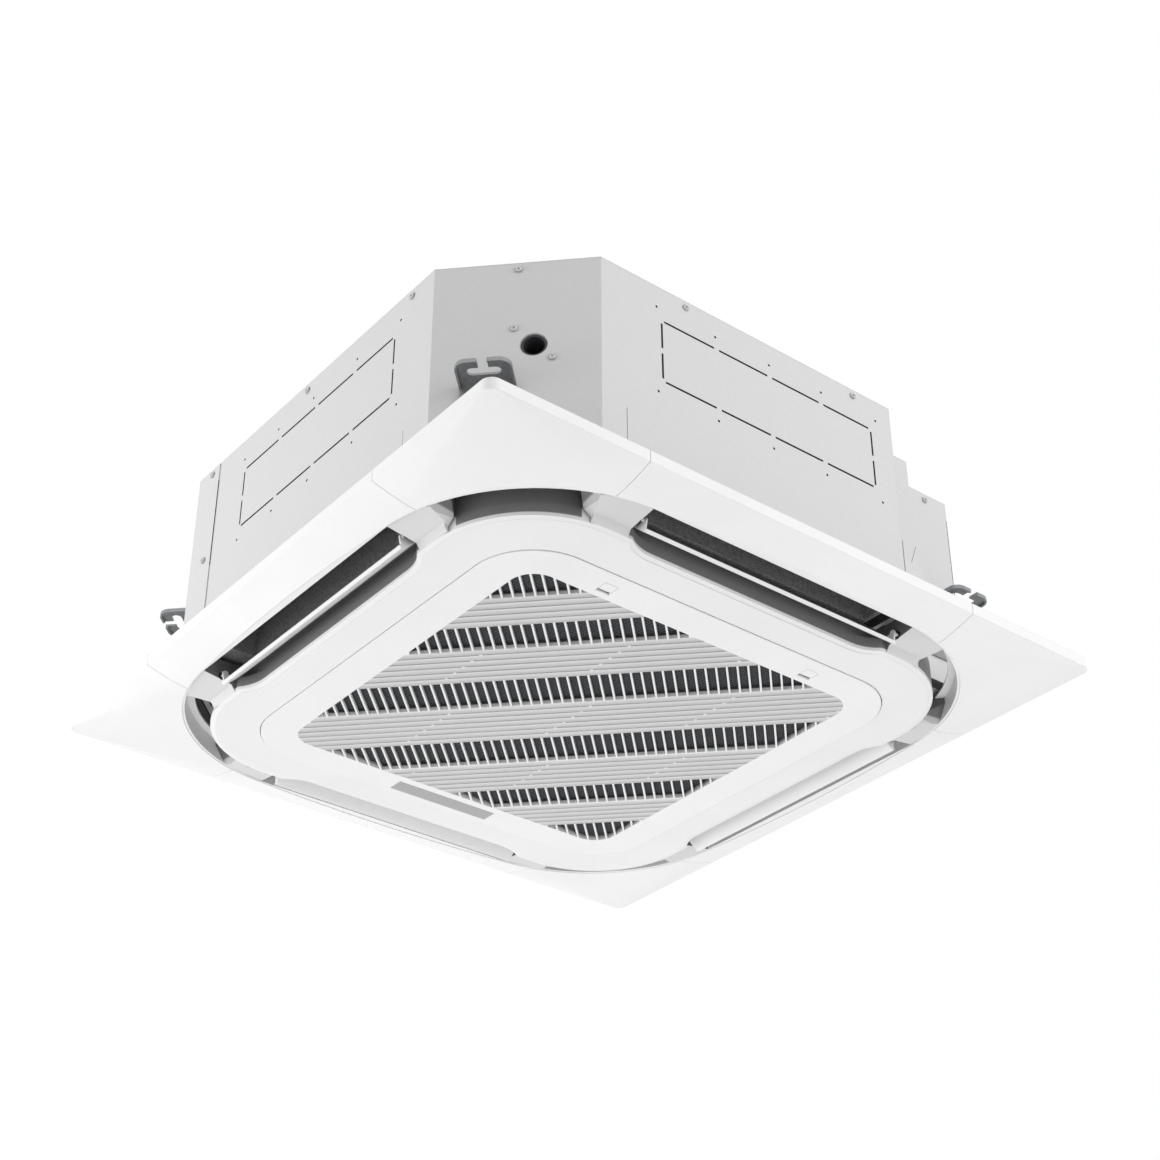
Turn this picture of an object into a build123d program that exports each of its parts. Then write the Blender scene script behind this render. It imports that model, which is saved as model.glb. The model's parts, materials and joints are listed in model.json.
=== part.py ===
from build123d import *
import math
import os

# Ceiling cassette air conditioner. Millimetres, +Z up.
# The origin is the middle of the decoration panel, in the plane of the ceiling.
# Front is -Y (the side with the two grille buttons), right is +X, left is -X and back is +Y.

# ---- casing ----
body_side = 840.0            # outside width of the steel body
body_top = 305.0             # height of the body's top above the ceiling
body_bottom = 4.0            # the body's lower edge, just above the ceiling plane
body_cut = 141.0             # leg of each cut corner
sheet = 1.2                  # steel sheet
bottom_flange = 12.0         # folded flange along the lower edge
step_x = 202.0               # pipe corner: the front wall ends here
step_depth = 69.0            # pipe corner: depth of the step behind the front wall
inner_step_x = 305.0         # pipe corner: second step
inner_step_depth = 107.0
knockout_length = 350.0      # duct knock-out, marked out by slits
knockout_low = 163.0
knockout_high = 254.0
knockout_slit = 1.6
knockout_bridge = 8.0
front_knockout_middle = -11.5
left_knockout_middle = 23.0
drain_hole = 33.0            # round hole in the front left cut corner
drain_offset = 20.6          # its place along the cut face
drain_height = 179.5
duct_holes = 18.4            # rows of small holes above and below each knock-out
duct_hole = 3.4
front_hole_places = (-182.5, -89.0, 0.0, 89.0, 185.5)
left_hole_places = (-178.5, -94.0, -9.4, 91.0, 186.8)
foot_seam = 0.8              # short slits at the foot of the walls
front_seam_x = -242.5
front_seam_low = 8.0
front_seam_high = 98.0
left_seam_x = 228.0
left_seam_low = 74.0
left_seam_high = 96.0
strap_start = -251.0         # the wall sheets overlap here, on the left and right sides
strap_end = -223.0
screw_head = 9.0
screw_head_height = 2.2
top_screw_height = 294.0
strap_screw_height = 155.5
wall_screws = (              # side, place along it, height, sheets under the head
    (0, -147.5, top_screw_height, 0), (0, 134.9, top_screw_height, 0),
    (1, -237.0, top_screw_height, sheet), (1, -237.0, strap_screw_height, sheet),
    (1, -60.0, top_screw_height, 0), (1, 150.0, top_screw_height, 0),
    (2, -240.0, top_screw_height, 0), (2, 0.0, top_screw_height, 0),
    (2, 240.0, top_screw_height, 0),
    (3, -240.8, top_screw_height, sheet), (3, -240.6, strap_screw_height, sheet),
    (3, -2.9, top_screw_height, 0), (3, 232.7, top_screw_height, 0))
corner_screws = ((1.7, top_screw_height), (-2.6, 204.4), (42.9, 158.5))
step_screw_x = 378.0
top_rib_height = 3.0
top_rib_width = 22.0
top_rib_length = 150.0
top_rib_start = 150.0

# ---- hanger brackets ----
hang_x = 392.5               # middle of the hanging bolt
hang_y = 348.0
hang_height = 125.0          # top face of the bracket
bracket_plate = 3.0
bracket_width = 66.0
bracket_reach = 21.0         # steel past the bolt's middle
bracket_round = 15.0         # the plate's outer corners
bracket_rim = 5.5            # the edge is folded down
bolt_slot_width = 13.0
bolt_slot_length = 40.0
bolt_mouth = 12.0
bracket_leg = 85.0

# ---- foam, pan and coil ----
foam_wall = 15.0
foam_top = 15.8
pan_height = 52.8
pan_slot_half = 185.0        # half length of each air slot in the pan
pan_slot_inner = 360.0
pan_slot_outer = 400.0
pan_corner_half = 66.0       # corner air openings of the pan
pan_corner_inner = 456.0
pan_corner_outer = 476.0
trough_floor = 30.0          # the coil stands in a trough
trough_margin = 6.0
coil_outer = 290.0           # half width of the coil's loop
coil_thick = 38.0
coil_corner = 60.0
coil_end = 196.0             # the loop is open at the pipe corner
end_plate = 1.5
bend_radius = 11.0
bend_tube = 4.0
bend_facets = 8              # a plain form for the small tubes
bend_first = 42.0            # lowest bend, above the trough's floor
bend_pitch = 44.0
bend_count = 5
header_radius = 8.0
header_gap = 16.0
header_low = 60.0
header_high = 262.0
feeder_first = 84.0
feeder_pitch = 50.0
feeder_count = 4

# ---- refrigerant pipes ----
gas_radius = 7.94
liquid_radius = 4.76
gas_height = 165.0
liquid_height = 120.0
pipe_x = 228.0
pipe_reach = 32.0            # past the cover plate
union_length = 14.0
union_step = 1.0             # the union's nose is this much smaller in radius
nut_length = 12.0
gas_nut_flats = 27.0
liquid_nut_flats = 17.0
pipe_hole_gap = 2.0
gas_slant = 50.0             # the gas pipe slants from the header to the union's line
gas_bend = 22.0
liquid_shift = 10.0
liquid_gap = 26.0
distributor_radius = 7.0
distributor_half = 16.0
pipe_cover_thick = 2.0
cover_left = 206.0           # cover plate round the pipes
cover_right = 298.0
cover_bottom = 98.0
cover_top = 250.0
cable_gap = 1.8              # plate over the cable entry, beside the front wall's edge
cable_width = 32.0
cable_bottom = 14.0
cable_shoulder = 58.0
cable_top = 100.0
cable_tongue = 4.0
cable_notch = 13.0
cable_step = 7.0
cable_foot = 12.0

# ---- fan and motor ----
fan_radius = 235.0
fan_eye = 176.0
fan_low = 76.0
fan_high = 239.0
fan_wall = 2.5
blade_count = 7
blade_wall = 3.0
blade_inner = 128.0
blade_bow = 22.0
blade_sweep = 34.0
rim_rise = 35.0              # the shroud's outer edge, above its eye
rim_bend = 14.0              # the shroud bends this far out from its eye
hub_radius = 20.0
hub_low = 140.0
hub_high = 172.0
hub_web = 6.0
dish_inner = 92.0            # the fan's back plate is dished round the motor
dish_outer = 98.0
dish_low = 198.0
shaft_radius = 6.0
shaft_low = 122.0
shaft_in_motor = 30.0
shaft_fit = 0.05
fan_nut_height = 13.0
fan_nut_flats = 22.0
motor_radius = 75.0
motor_low = 205.0
motor_high = 283.0
motor_nose = 34.0
motor_bevel = 9.0
motor_shoulder = 14.0
motor_ears = 3
motor_ear_reach = 92.0
ear_thick = 4.0
rubber_radius = 9.0
motor_clear = 12.0           # hole in the foam's lid round the motor's ears
bell_throat = 166.0
bell_flange = 215.0
bell_wall = 2.5
bell_high = 79.0
bell_seat = 9.0              # the bell mouth's flange lies on the pan's lower face
bell_curve = ((201.0, 2.7), (188.0, 5.6), (178.5, 14.0), (171.5, 26.0), (167.3, 40.0))

# ---- drain pump and float switch, in the front left corner ----
pump_distance = 425.0
pump_radius = 26.0
pump_height = 54.0
pump_housing = 30.0
pump_motor_radius = 18.0
pump_outlet = 6.0
pump_outlet_step = 2.0
hose_radius = 9.0
hose_bend = 14.0
socket_bore = 13.0
socket_wall = 2.6
socket_length = 50.0
socket_end = 492.0
socket_floor = 4.0
float_offset = -45.0
stem_radius = 2.5
stem_height = 47.0
float_radius = 10.0
float_height = 16.0
float_fit = 0.1
stem_foot = 3.0
stem_head = 3.0
stem_cap_radius = 6.0

# ---- control box under the pan ----
box_length = 280.0
box_low = -15.0
box_near = 235.0
box_far = 345.0
box_wall = 2.0
lid_thick = 1.2

# ---- decoration panel ----
panel_side = 950.0
panel_corner = 14.0
rim_height = 15.0
face_low = 29.0              # depth of the opening's edge under the ceiling
face_width = 43.0            # sloping face, from the panel's edge to the opening's middle
panel_wall = 3.0
ledge_mid = 10.5             # the ledge inside the opening is widest at mid-side
ledge_end = 1.0
ledge_corner = 2.0
ledge_low = 28.0
ledge_thick = 3.0
ledge_overlap = 0.5
opening_at = 210.0           # the opening's corner arcs start here
duct_wall = 2.5
flange_inset = 18.0          # inner edge of the top flange, in from the body's side
flange_corner = 185.0
cover_seam = 256.0           # seams of the corner covers
seam_gap = 0.6
cover_lip = 9.0              # lip of the frame behind the covers' inner edges
lip_thick = 2.0
lip_gap = 0.05
seal_inset = 0.5

# ---- vane frame: ring, scoops and bridges ----
slot_width = 47.5            # air slot between the ring and the duct wall
corner_outlet = 34.9         # width of each corner outlet, on the diagonal
outlet_half = 73.0           # half length of each corner outlet
ring_corner = 144.0
ring_low = 41.5
ring_face_width = 63.0       # ring's face, from the slot to the grille's seam
lip_drop = 1.5
lip_width = 6.0
scoop_depth = 14.4           # the ring is hollowed beside each slot
scoop_lip_depth = 21.0
scoop_end = 199.0
scoop_flat = 160.0
scoop_knee = 181.0
scoop_knee_share = 0.27
scoop_high = 23.0            # the scoop's wall ends here, under the square duct
crown_low = 45.0
seam_corner = 85.0
ring_wall = 3.0
frame_high = -1.0
inner_wall_high = -20.0
bridge_start = 206.0
bridge_end = 320.0
bridge_outer_low = 26.5
bridge_knee = 6.0            # the bridge's underside bends this far from the ring
bridge_knee_low = 32.7
bridge_fold = 262.0
bridge_ramp = 38.0
ramp_rise = 28.4
ramp_drop = 2.0
ramp_turn = 8.0
pocket_wall = 3.0            # pocket for the louver's motor
pocket_far = 250.0
pocket_near = 6.0
pocket_width = 26.0
pocket_floor = -27.0

# ---- louvers ----
louver_half = 199.0
louver_width = 42.0
louver_knee_width = 38.5     # the blade's inner corners follow the scoop's curved ends
louver_end_width = 27.5
louver_thick = 4.5
louver_tip = 1.6
louver_back_bulge = 0.6
louver_reach = 21.0          # outer lower edge of the open blade, out from the ring
louver_edge_low = 42.0
louver_tilt = 44.0
louver_bulge = 1.2
pivot_reach = 20.5           # pivot, out from the ring
pivot_low = 26.0
arm_thick = 2.5
arm_radius = 4.0
arm_foot = 20.0
pin_radius = 2.0
pin_fit = 0.05
pin_end = 213.0
bush_radius = 4.0
bush_flange = 5.2
bush_flange_thick = 1.0
motor_shift = 8.0            # the louver motor's body sits above its output
louver_motor_radius = 8.8
louver_motor_length = 18.0
neck_gap = 0.5
neck_length = 6.0

# ---- intake grille ----
grille_gap = 1.0
grille_low = 46.0
border_thick = 3.0
border_width = 50.0          # from the seam to the window of slats
weave_depth = 8.0
window_corner = 34.0
weave_lap = 4.0
bar_pitch = 13.3
bar_width = 2.5
slat_pitch = 13.0
slat_gap = 1.8
tie_pitch = 183.0            # along a slat; the ties stand in lines along Y
tie_width = 4.0
least_cell = 6.0             # smaller scraps of a cell stay closed
rib_inset = 3.0
rib_width = 2.0
rib_high = -33.0
hinge_beyond = 19.0          # hinge axis, out past the seam
hinge_up = 11.0              # hinge axis, above the grille's face
hinge_x = 205.0
hook_inner = 22.0            # the hook's bow clears the ring's inner edge
hook_outer = 26.0
hook_thick = 5.0
hook_boss = 3.0
hook_notch_gap = 1.5
hook_notch_floor = -38.2
lug_thick = 3.0
lug_gap = 0.5
hinge_pin_radius = 1.6
hinge_pin_fit = 0.05
button_x = 161.0
button_y = 284.0
button_length = 20.0
button_width = 14.0
button_travel = 6.0
button_gap = 0.4
button_ledge = 2.5
button_ledge_side = 4.0
button_ledge_end = 5.0
plate_length = 158.0
plate_width = 23.5
plate_middle_x = 4.0
plate_middle_y = 285.7
plate_proud = 0.4
plate_seat = 1.0
filter_half = 270.0
filter_corner = 40.0
filter_thick = 4.0
filter_net = 0.6
filter_cell = 86.0
filter_cells = 6
filter_bar = 3.0

far = 600.0                  # cutters run well past the part
root_two = math.sqrt(2)
body_half = body_side / 2
cut_distance = (body_side - body_cut) / root_two
pan_bottom = body_bottom + sheet
pan_top = pan_bottom + pan_height
foam_ceiling = body_top - sheet - foam_top
panel_half = panel_side / 2
opening_mid = panel_half - face_width
duct_side = opening_mid - ledge_mid
opening_end = duct_side + ledge_end
ring_outer = duct_side - slot_width
ring_run = ring_outer - ring_corner
ring_apex = ring_run + ring_corner / root_two
opening_apex = ring_apex + corner_outlet / root_two
duct_apex = opening_apex - ledge_corner
flange_half = body_half - flange_inset
scoop_wall = ring_outer - scoop_depth
scoop_lip = ring_outer - scoop_lip_depth
louver_edge = ring_outer + louver_reach
pivot_out = ring_outer + pivot_reach
seam_half = ring_outer - ring_face_width
window_half = seam_half - border_width
grille_half = seam_half - grille_gap
hinge_y = seam_half + hinge_beyond
hinge_z = hinge_up - grille_low
ear_high = motor_high - motor_shoulder
pipe_wall = step_depth - body_half
pipe_tip = pipe_wall - pipe_cover_thick - pipe_reach


# ---- helpers ----
def along(start, end):
    """Straight edge."""
    return Edge.make_line(start, end)


def arc(start, middle, end):
    """Edge through three points."""
    return Edge.make_three_point_arc(start, middle, end)


def four_sides(edges):
    """Face bounded by the front side's edges, repeated on all four sides."""
    loop = [Rot(0, 0, 90 * quarter) * edge for quarter in range(4) for edge in edges]
    return Face(Wire(loop))


def rounded_square(half, radius):
    """Square face with round corners."""
    run = half - radius
    bulge = run + radius / root_two
    side = along((-run, -half), (run, -half))
    corner = arc((run, -half), (bulge, -bulge), (half, -run))
    return four_sides([side, corner])


def bowed_square(mid, end, at, apex):
    """Face with four bowed sides and four large corner arcs."""
    side = arc((-at, -end), (0, -mid), (at, -end))
    corner = arc((at, -end), (apex, -apex), (end, -at))
    return four_sides([side, corner])


def duct_face(grow=0.0):
    """Inside of the panel's duct wall: straight sides and large corner arcs."""
    side = duct_side + grow
    apex = duct_apex + grow / root_two
    straight = along((-opening_at, -side), (opening_at, -side))
    corner = arc((opening_at, -side), (apex, -apex), (side, -opening_at))
    return four_sides([straight, corner])


def ring_face(outer, scoop):
    """Outline of the ring, with a scoop in the middle of each side."""
    run = ring_run
    bulge = run + (outer - run) / root_two
    knee = scoop + scoop_knee_share * (outer - scoop)
    edges = [
        along((-run, -outer), (-scoop_end, -outer)),
        arc((-scoop_end, -outer), (-scoop_knee, -knee), (-scoop_flat, -scoop)),
        along((-scoop_flat, -scoop), (scoop_flat, -scoop)),
        arc((scoop_flat, -scoop), (scoop_knee, -knee), (scoop_end, -outer)),
        along((scoop_end, -outer), (run, -outer)),
        arc((run, -outer), (bulge, -bulge), (outer, -run)),
    ]
    return four_sides(edges)


def duct_ring_face():
    """Outline of the ring above the scoops, where the air ducts are square-ended."""
    run = ring_run
    edges = [
        along((-run, -ring_outer), (-bridge_start, -ring_outer)),
        along((-bridge_start, -ring_outer), (-bridge_start, -scoop_wall)),
        along((-bridge_start, -scoop_wall), (bridge_start, -scoop_wall)),
        along((bridge_start, -scoop_wall), (bridge_start, -ring_outer)),
        along((bridge_start, -ring_outer), (run, -ring_outer)),
        arc((run, -ring_outer), (ring_apex, -ring_apex), (ring_outer, -run)),
    ]
    return four_sides(edges)


def prism(face, low, high):
    """Face raised into a solid between two heights."""
    return extrude(Pos(0, 0, low) * face, high - low, dir=(0, 0, 1))


def block(x0, x1, y0, y1, z0, z1):
    """Box between two corners."""
    return Pos((x0 + x1) / 2, (y0 + y1) / 2, (z0 + z1) / 2) * Box(x1 - x0, y1 - y0, z1 - z0)


def rod(radius, low, high, x=0.0, y=0.0):
    """Upright cylinder between two heights."""
    return Pos(x, y, (low + high) / 2) * Cylinder(radius, high - low)


def rod_x(radius, x0, x1, y, z):
    """Cylinder along X."""
    return Pos((x0 + x1) / 2, y, z) * Rot(0, 90, 0) * Cylinder(radius, x1 - x0)


def rod_y(radius, y0, y1, x, z):
    """Cylinder along Y."""
    return Pos(x, (y0 + y1) / 2, z) * Rot(90, 0, 0) * Cylinder(radius, y1 - y0)


def side_profile(points, x0, x1):
    """Section drawn as (distance outwards, height) on the front side, run along X."""
    face = Polygon(*[(out, height) for out, height in points], align=None)
    plane = Plane(origin=(x0, 0, 0), x_dir=(0, -1, 0), z_dir=(-1, 0, 0))
    return extrude(plane * face, x0 - x1)


def turned(shape, quarter):
    """The front side's piece, turned to another side."""
    return Rot(0, 0, 90 * quarter) * shape


def at_near_corner(offset, distance, height=0.0):
    """Place in the front left corner: along the cut face, outwards, up. Local +X runs outwards."""
    x = (offset - distance) / root_two
    y = (-offset - distance) / root_two
    return Pos(x, y, height) * Rot(0, 0, 225)


def outline_points(inset=0.0):
    """Corners of the body's plan, moved in from the walls: four sides, cut corners and steps."""
    half = body_half - inset
    run = root_two * (cut_distance - inset) - half
    first = step_depth - half
    second = inner_step_depth - half
    left = step_x - inset
    right = inner_step_x - inset
    return [
        (-run, -half), (left, -half), (left, first), (right, first), (right, second),
        (half, second), (half, run), (run, half), (-run, half), (-half, run), (-half, -run),
    ]


def body_outline(inset=0.0):
    """Plan of the body with its cut corners and the stepped pipe corner."""
    return Polygon(*outline_points(inset), align=None)


# ---- casing ----
def knockout_slits(middle):
    """Slits round one knock-out, on the front wall."""
    cuts = []
    step = knockout_length / 4
    for index in range(4):
        start = middle - knockout_length / 2 + index * step
        for height in (knockout_low, knockout_high):
            cuts.append(block(
                start + knockout_bridge / 2, start + step - knockout_bridge / 2,
                -body_half - 1, -body_half + sheet + 1,
                height - knockout_slit / 2, height + knockout_slit / 2))
    rise = (knockout_high - knockout_low) / 2
    for index in range(2):
        low = knockout_low + index * rise + knockout_bridge / 2
        for x in (middle - knockout_length / 2, middle + knockout_length / 2):
            cuts.append(block(
                x - knockout_slit / 2, x + knockout_slit / 2,
                -body_half - 1, -body_half + sheet + 1,
                low, low + rise - knockout_bridge))
    return cuts


def knockout_holes(middle, places):
    """Small holes in a row above and a row below one knock-out, on the front wall."""
    holes = []
    for place in places:
        for height in (knockout_low - duct_holes, knockout_high + duct_holes):
            holes.append(rod_y(
                duct_hole / 2, -body_half - 1, -body_half + sheet + 1, middle + place, height))
    return holes


def wall_slit(x, low, high):
    """Upright slit through the front wall."""
    return block(
        x - foot_seam / 2, x + foot_seam / 2, -body_half - 1, -body_half + sheet + 1, low, high)


def make_casing():
    wall = prism(body_outline() - body_outline(sheet), body_bottom, body_top - sheet)
    flange = prism(
        body_outline() - body_outline(sheet + bottom_flange),
        body_bottom, body_bottom + sheet)
    strap = block(
        strap_start, strap_end, -body_half - sheet, -body_half, body_bottom, body_top - sheet)
    shell = wall + flange + [turned(strap, 1), turned(strap, 3)]
    front = knockout_slits(front_knockout_middle)
    front += knockout_holes(front_knockout_middle, front_hole_places)
    front.append(wall_slit(front_seam_x, front_seam_low, front_seam_high))
    left = knockout_slits(left_knockout_middle)
    left += knockout_holes(left_knockout_middle, left_hole_places)
    left.append(wall_slit(left_seam_x, left_seam_low, left_seam_high))
    back = knockout_slits(0) + knockout_holes(0, front_hole_places)
    cuts = front + [turned(cut, 3) for cut in left] + [turned(cut, 2) for cut in back]
    drain = at_near_corner(drain_offset, cut_distance, drain_height)
    cuts.append(drain * Rot(0, 90, 0) * Cylinder(drain_hole / 2, 4 * sheet))
    for radius, height in ((gas_radius, gas_height), (liquid_radius, liquid_height)):
        cuts.append(rod_y(
            radius + pipe_hole_gap, pipe_wall - sheet, pipe_wall + 2 * sheet, pipe_x, height))
    return shell - cuts


def make_top_plate():
    plate = prism(body_outline(), body_top - sheet, body_top)
    beads = []
    hollows = []
    for quarter in range(4):
        middle = top_rib_start + top_rib_length / 2
        place = Rot(0, 0, 45 + 90 * quarter) * Pos(middle, 0, body_top)
        outer = Rectangle(top_rib_length, top_rib_width)
        inner = Rectangle(top_rib_length - 2 * sheet, top_rib_width - 2 * sheet)
        beads.append(place * extrude(outer, top_rib_height, taper=45))
        below = place * Pos(0, 0, -sheet)
        hollows.append(below * extrude(inner, top_rib_height, taper=45))
    return plate + beads - hollows


def make_screws():
    """Pan heads standing on the body's outer faces."""
    head = Cylinder(screw_head / 2, screw_head_height)
    heads = []
    for quarter, x, height, lift in wall_screws:
        place = Pos(x, -body_half - lift - screw_head_height / 2, height)
        heads.append(turned(place * Rot(90, 0, 0) * head, quarter))
    facing = cut_distance + screw_head_height / 2
    for offset_s, height in corner_screws:
        heads.append(at_near_corner(offset_s, facing, height) * Rot(0, 90, 0) * head)
    step_face = inner_step_depth - body_half - screw_head_height / 2
    heads.append(Pos(step_screw_x, step_face, top_screw_height) * Rot(90, 0, 0) * head)
    return Compound(children=heads)


# ---- hanger brackets ----
def bracket_slot():
    """Plan of the T-shaped bolt slot: the bolt at the origin, open along +X."""
    bar = SlotOverall(bolt_slot_length, bolt_slot_width, rotation=90)
    mouth = Pos(bracket_reach, 0) * Rectangle(2 * bracket_reach, bolt_mouth)
    return bar + mouth


def make_bracket(wall):
    """Bracket fixed on a wall behind the bolt, which is at the origin; +X points outwards."""
    depth = wall + bracket_reach
    plate = Pos((bracket_reach - wall) / 2, 0) * Rectangle(depth, bracket_width)
    plate = fillet(plate.vertices().sort_by(Axis.X)[-2:], bracket_round)
    rim = plate - offset(plate, amount=-bracket_plate) - bracket_slot()
    leg = block(
        -wall, bracket_plate - wall, -bracket_width / 2, bracket_width / 2,
        -bracket_leg, -bracket_plate / 2)
    return prism(plate - bracket_slot(), -bracket_plate, 0) + prism(rim, -bracket_rim, 0) + leg


def corner_bracket(sign_x, sign_y):
    """Bracket on a cut corner."""
    bolt = (hang_x + hang_y) / root_two
    turn = math.degrees(math.atan2(sign_y, sign_x))
    place = Pos(sign_x * hang_x, sign_y * hang_y, hang_height)
    return place * Rot(0, 0, turn) * make_bracket(bolt - cut_distance)


def step_bracket():
    """Bracket beside the pipe corner, on the second step's wall, open to the front."""
    wall = hang_y - body_half + inner_step_depth
    return Pos(hang_x, -hang_y, hang_height) * Rot(0, 0, -90) * make_bracket(wall)


# ---- foam liner and drain pan ----
def make_liner():
    """Foam lid, and one strip of foam on each wall, mitred at the corners."""
    outer = outline_points(sheet)
    inner = outline_points(sheet + foam_wall)
    strips = []
    for index in range(len(outer)):
        follow = (index + 1) % len(outer)
        plan = Polygon(outer[index], outer[follow], inner[follow], inner[index], align=None)
        strips.append(prism(plan, pan_top, foam_ceiling))
    lid = prism(body_outline(sheet), foam_ceiling, body_top - sheet)
    lid = lid - rod(motor_ear_reach + rubber_radius + motor_clear, foam_ceiling - 1, body_top)
    drain = at_near_corner(drain_offset, cut_distance, drain_height)
    cuts = [drain * Rot(0, 90, 0) * Cylinder(socket_bore + socket_wall, 4 * foam_wall)]
    for radius, height in ((gas_radius, gas_height), (liquid_radius, liquid_height)):
        cuts.append(rod_y(
            radius + pipe_hole_gap, pipe_wall, pipe_wall + 2 * foam_wall, pipe_x, height))
    return Compound(children=[lid] + [strip - cuts for strip in strips])


def make_pan():
    plan = body_outline(sheet) - Circle(bell_flange - bell_seat)
    slot_middle = (pan_slot_inner + pan_slot_outer) / 2
    slot = Pos(0, -slot_middle) * Rectangle(2 * pan_slot_half, pan_slot_outer - pan_slot_inner)
    plan = plan - [turned(slot, quarter) for quarter in range(4)]
    corner_middle = (pan_corner_inner + pan_corner_outer) / 2
    corner = Pos(corner_middle, 0) * Rectangle(
        pan_corner_outer - pan_corner_inner, 2 * pan_corner_half)
    plan = plan - [Rot(0, 0, angle) * corner for angle in (45, 135, 225)]
    pan = prism(plan, pan_bottom, pan_top)
    outer = rounded_square(coil_outer + trough_margin, coil_corner + trough_margin)
    inner = rounded_square(
        coil_outer - coil_thick - trough_margin, coil_corner - coil_thick)
    return pan - prism(outer - inner, trough_floor, pan_top + 1)


def make_bell_mouth():
    """Flared ring: flat flange, curve in short steps, straight throat."""
    low = pan_bottom - bell_wall
    curve = [(bell_flange, low)] + list(bell_curve) + [(bell_throat, bell_high)]
    back = [(bell_throat + bell_wall, bell_high)]
    back += [(radius + bell_wall, height + bell_wall) for radius, height in reversed(bell_curve)]
    back.append((bell_flange, pan_bottom))
    return revolve(Plane.XZ * Polygon(*curve, *back, align=None), Axis.Z)


# ---- coil ----
def make_coil():
    outer = rounded_square(coil_outer, coil_corner)
    inner = rounded_square(coil_outer - coil_thick, coil_corner - coil_thick)
    loop = prism(outer - inner, trough_floor, foam_ceiling)
    return loop - block(coil_end, far, -far, -coil_end, 0, far)


def coil_plate():
    """End plate of the front run."""
    return block(
        coil_end, coil_end + end_plate, -coil_outer, coil_thick - coil_outer,
        trough_floor, foam_ceiling)


def across_corner(shape):
    """Mirror about the pipe corner's diagonal."""
    return mirror(shape, Plane(origin=(0, 0, 0), z_dir=(1, 1, 0)))


def make_end_plates():
    return Compound(children=[coil_plate(), across_corner(coil_plate())])


def make_bends():
    """Return bends on the front run's end plate."""
    bends = []
    for index in range(bend_count):
        height = trough_floor + bend_first + index * bend_pitch
        section = Pos(0, bend_radius) * RegularPolygon(bend_tube, bend_facets)
        half = revolve(section, Axis.X, revolution_arc=180)
        spot = (coil_end + end_plate, coil_thick / 2 - coil_outer, height)
        bends.append(Plane(origin=spot, x_dir=(0, 1, 0), z_dir=(1, 0, 0)) * half)
    return Compound(children=bends)


def make_gas_pipe():
    """Header beside the coil's end, and the pipe from it to the flare union."""
    middle_x = coil_outer - coil_thick / 2
    middle_y = -coil_end - end_plate - header_gap
    header = rod(header_radius, header_low, header_high, middle_x, middle_y)
    feeders = []
    for index in range(feeder_count):
        height = feeder_first + index * feeder_pitch
        feeders.append(rod_y(bend_tube, middle_y, -coil_end - end_plate, middle_x, height))
    path = FilletPolyline(
        (middle_x, middle_y, gas_height), (pipe_x, middle_y - gas_slant, gas_height),
        (pipe_x, pipe_tip + union_length, gas_height), radius=gas_bend)
    pipe = sweep(Plane(origin=path @ 0, z_dir=path % 0) * Circle(gas_radius), path)
    nose = rod_y(gas_radius - union_step, pipe_tip, pipe_tip + union_length, pipe_x, gas_height)
    return pipe + nose + header + feeders


def make_liquid_pipe():
    """Distributor beside the coil's end, and the straight pipe to the flare union."""
    middle_y = coil_thick / 2 - coil_outer + liquid_shift
    start = coil_end + end_plate + liquid_gap
    feeder = rod_x(bend_tube, coil_end + end_plate, start, middle_y, liquid_height)
    distributor = rod(
        distributor_radius, liquid_height - distributor_half, liquid_height + distributor_half,
        start, middle_y)
    pipe = rod_y(liquid_radius, pipe_tip + union_length, middle_y, pipe_x, liquid_height)
    nose = rod_y(
        liquid_radius - union_step, pipe_tip, pipe_tip + union_length, pipe_x, liquid_height)
    return pipe + nose + feeder + distributor


def flare_nut(radius, flats, height):
    """Hexagon nut behind the union's nose."""
    plan = RegularPolygon(flats / 2, 6, major_radius=False) - Circle(radius)
    nut = extrude(plan, nut_length)
    return Pos(pipe_x, pipe_tip + union_length, height) * Rot(-90, 0, 0) * nut


def make_pipe_cover():
    plate = block(
        cover_left, cover_right, pipe_wall - pipe_cover_thick, pipe_wall, cover_bottom, cover_top)
    holes = []
    for radius, height in ((gas_radius, gas_height), (liquid_radius, liquid_height)):
        holes.append(rod_y(
            radius + pipe_hole_gap, pipe_wall - 2 * pipe_cover_thick, pipe_wall + 1,
            pipe_x, height))
    return plate - holes


def make_cable_plate():
    """Notched plate beside the front wall's edge, folded back to the step's wall."""
    left = step_x + cable_gap
    right = left + cable_width
    notch = cable_bottom + cable_shoulder
    plan = [
        (left, cable_bottom), (right, cable_bottom), (right, notch), (right - cable_step, notch),
        (right - cable_step - sheet, cable_top), (left + cable_notch, notch),
        (left + cable_tongue, notch), (left + cable_tongue, cable_top), (left, cable_top),
    ]
    plane = Plane(origin=(0, -body_half, 0), x_dir=(1, 0, 0), z_dir=(0, -1, 0))
    plate = extrude(plane * Polygon(*plan, align=None), -sheet)
    fold = block(right - sheet, right, -body_half, pipe_wall, cable_bottom, notch)
    foot = block(right, right + cable_foot, pipe_wall - sheet, pipe_wall, cable_bottom, notch)
    return plate + fold + foot


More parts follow.
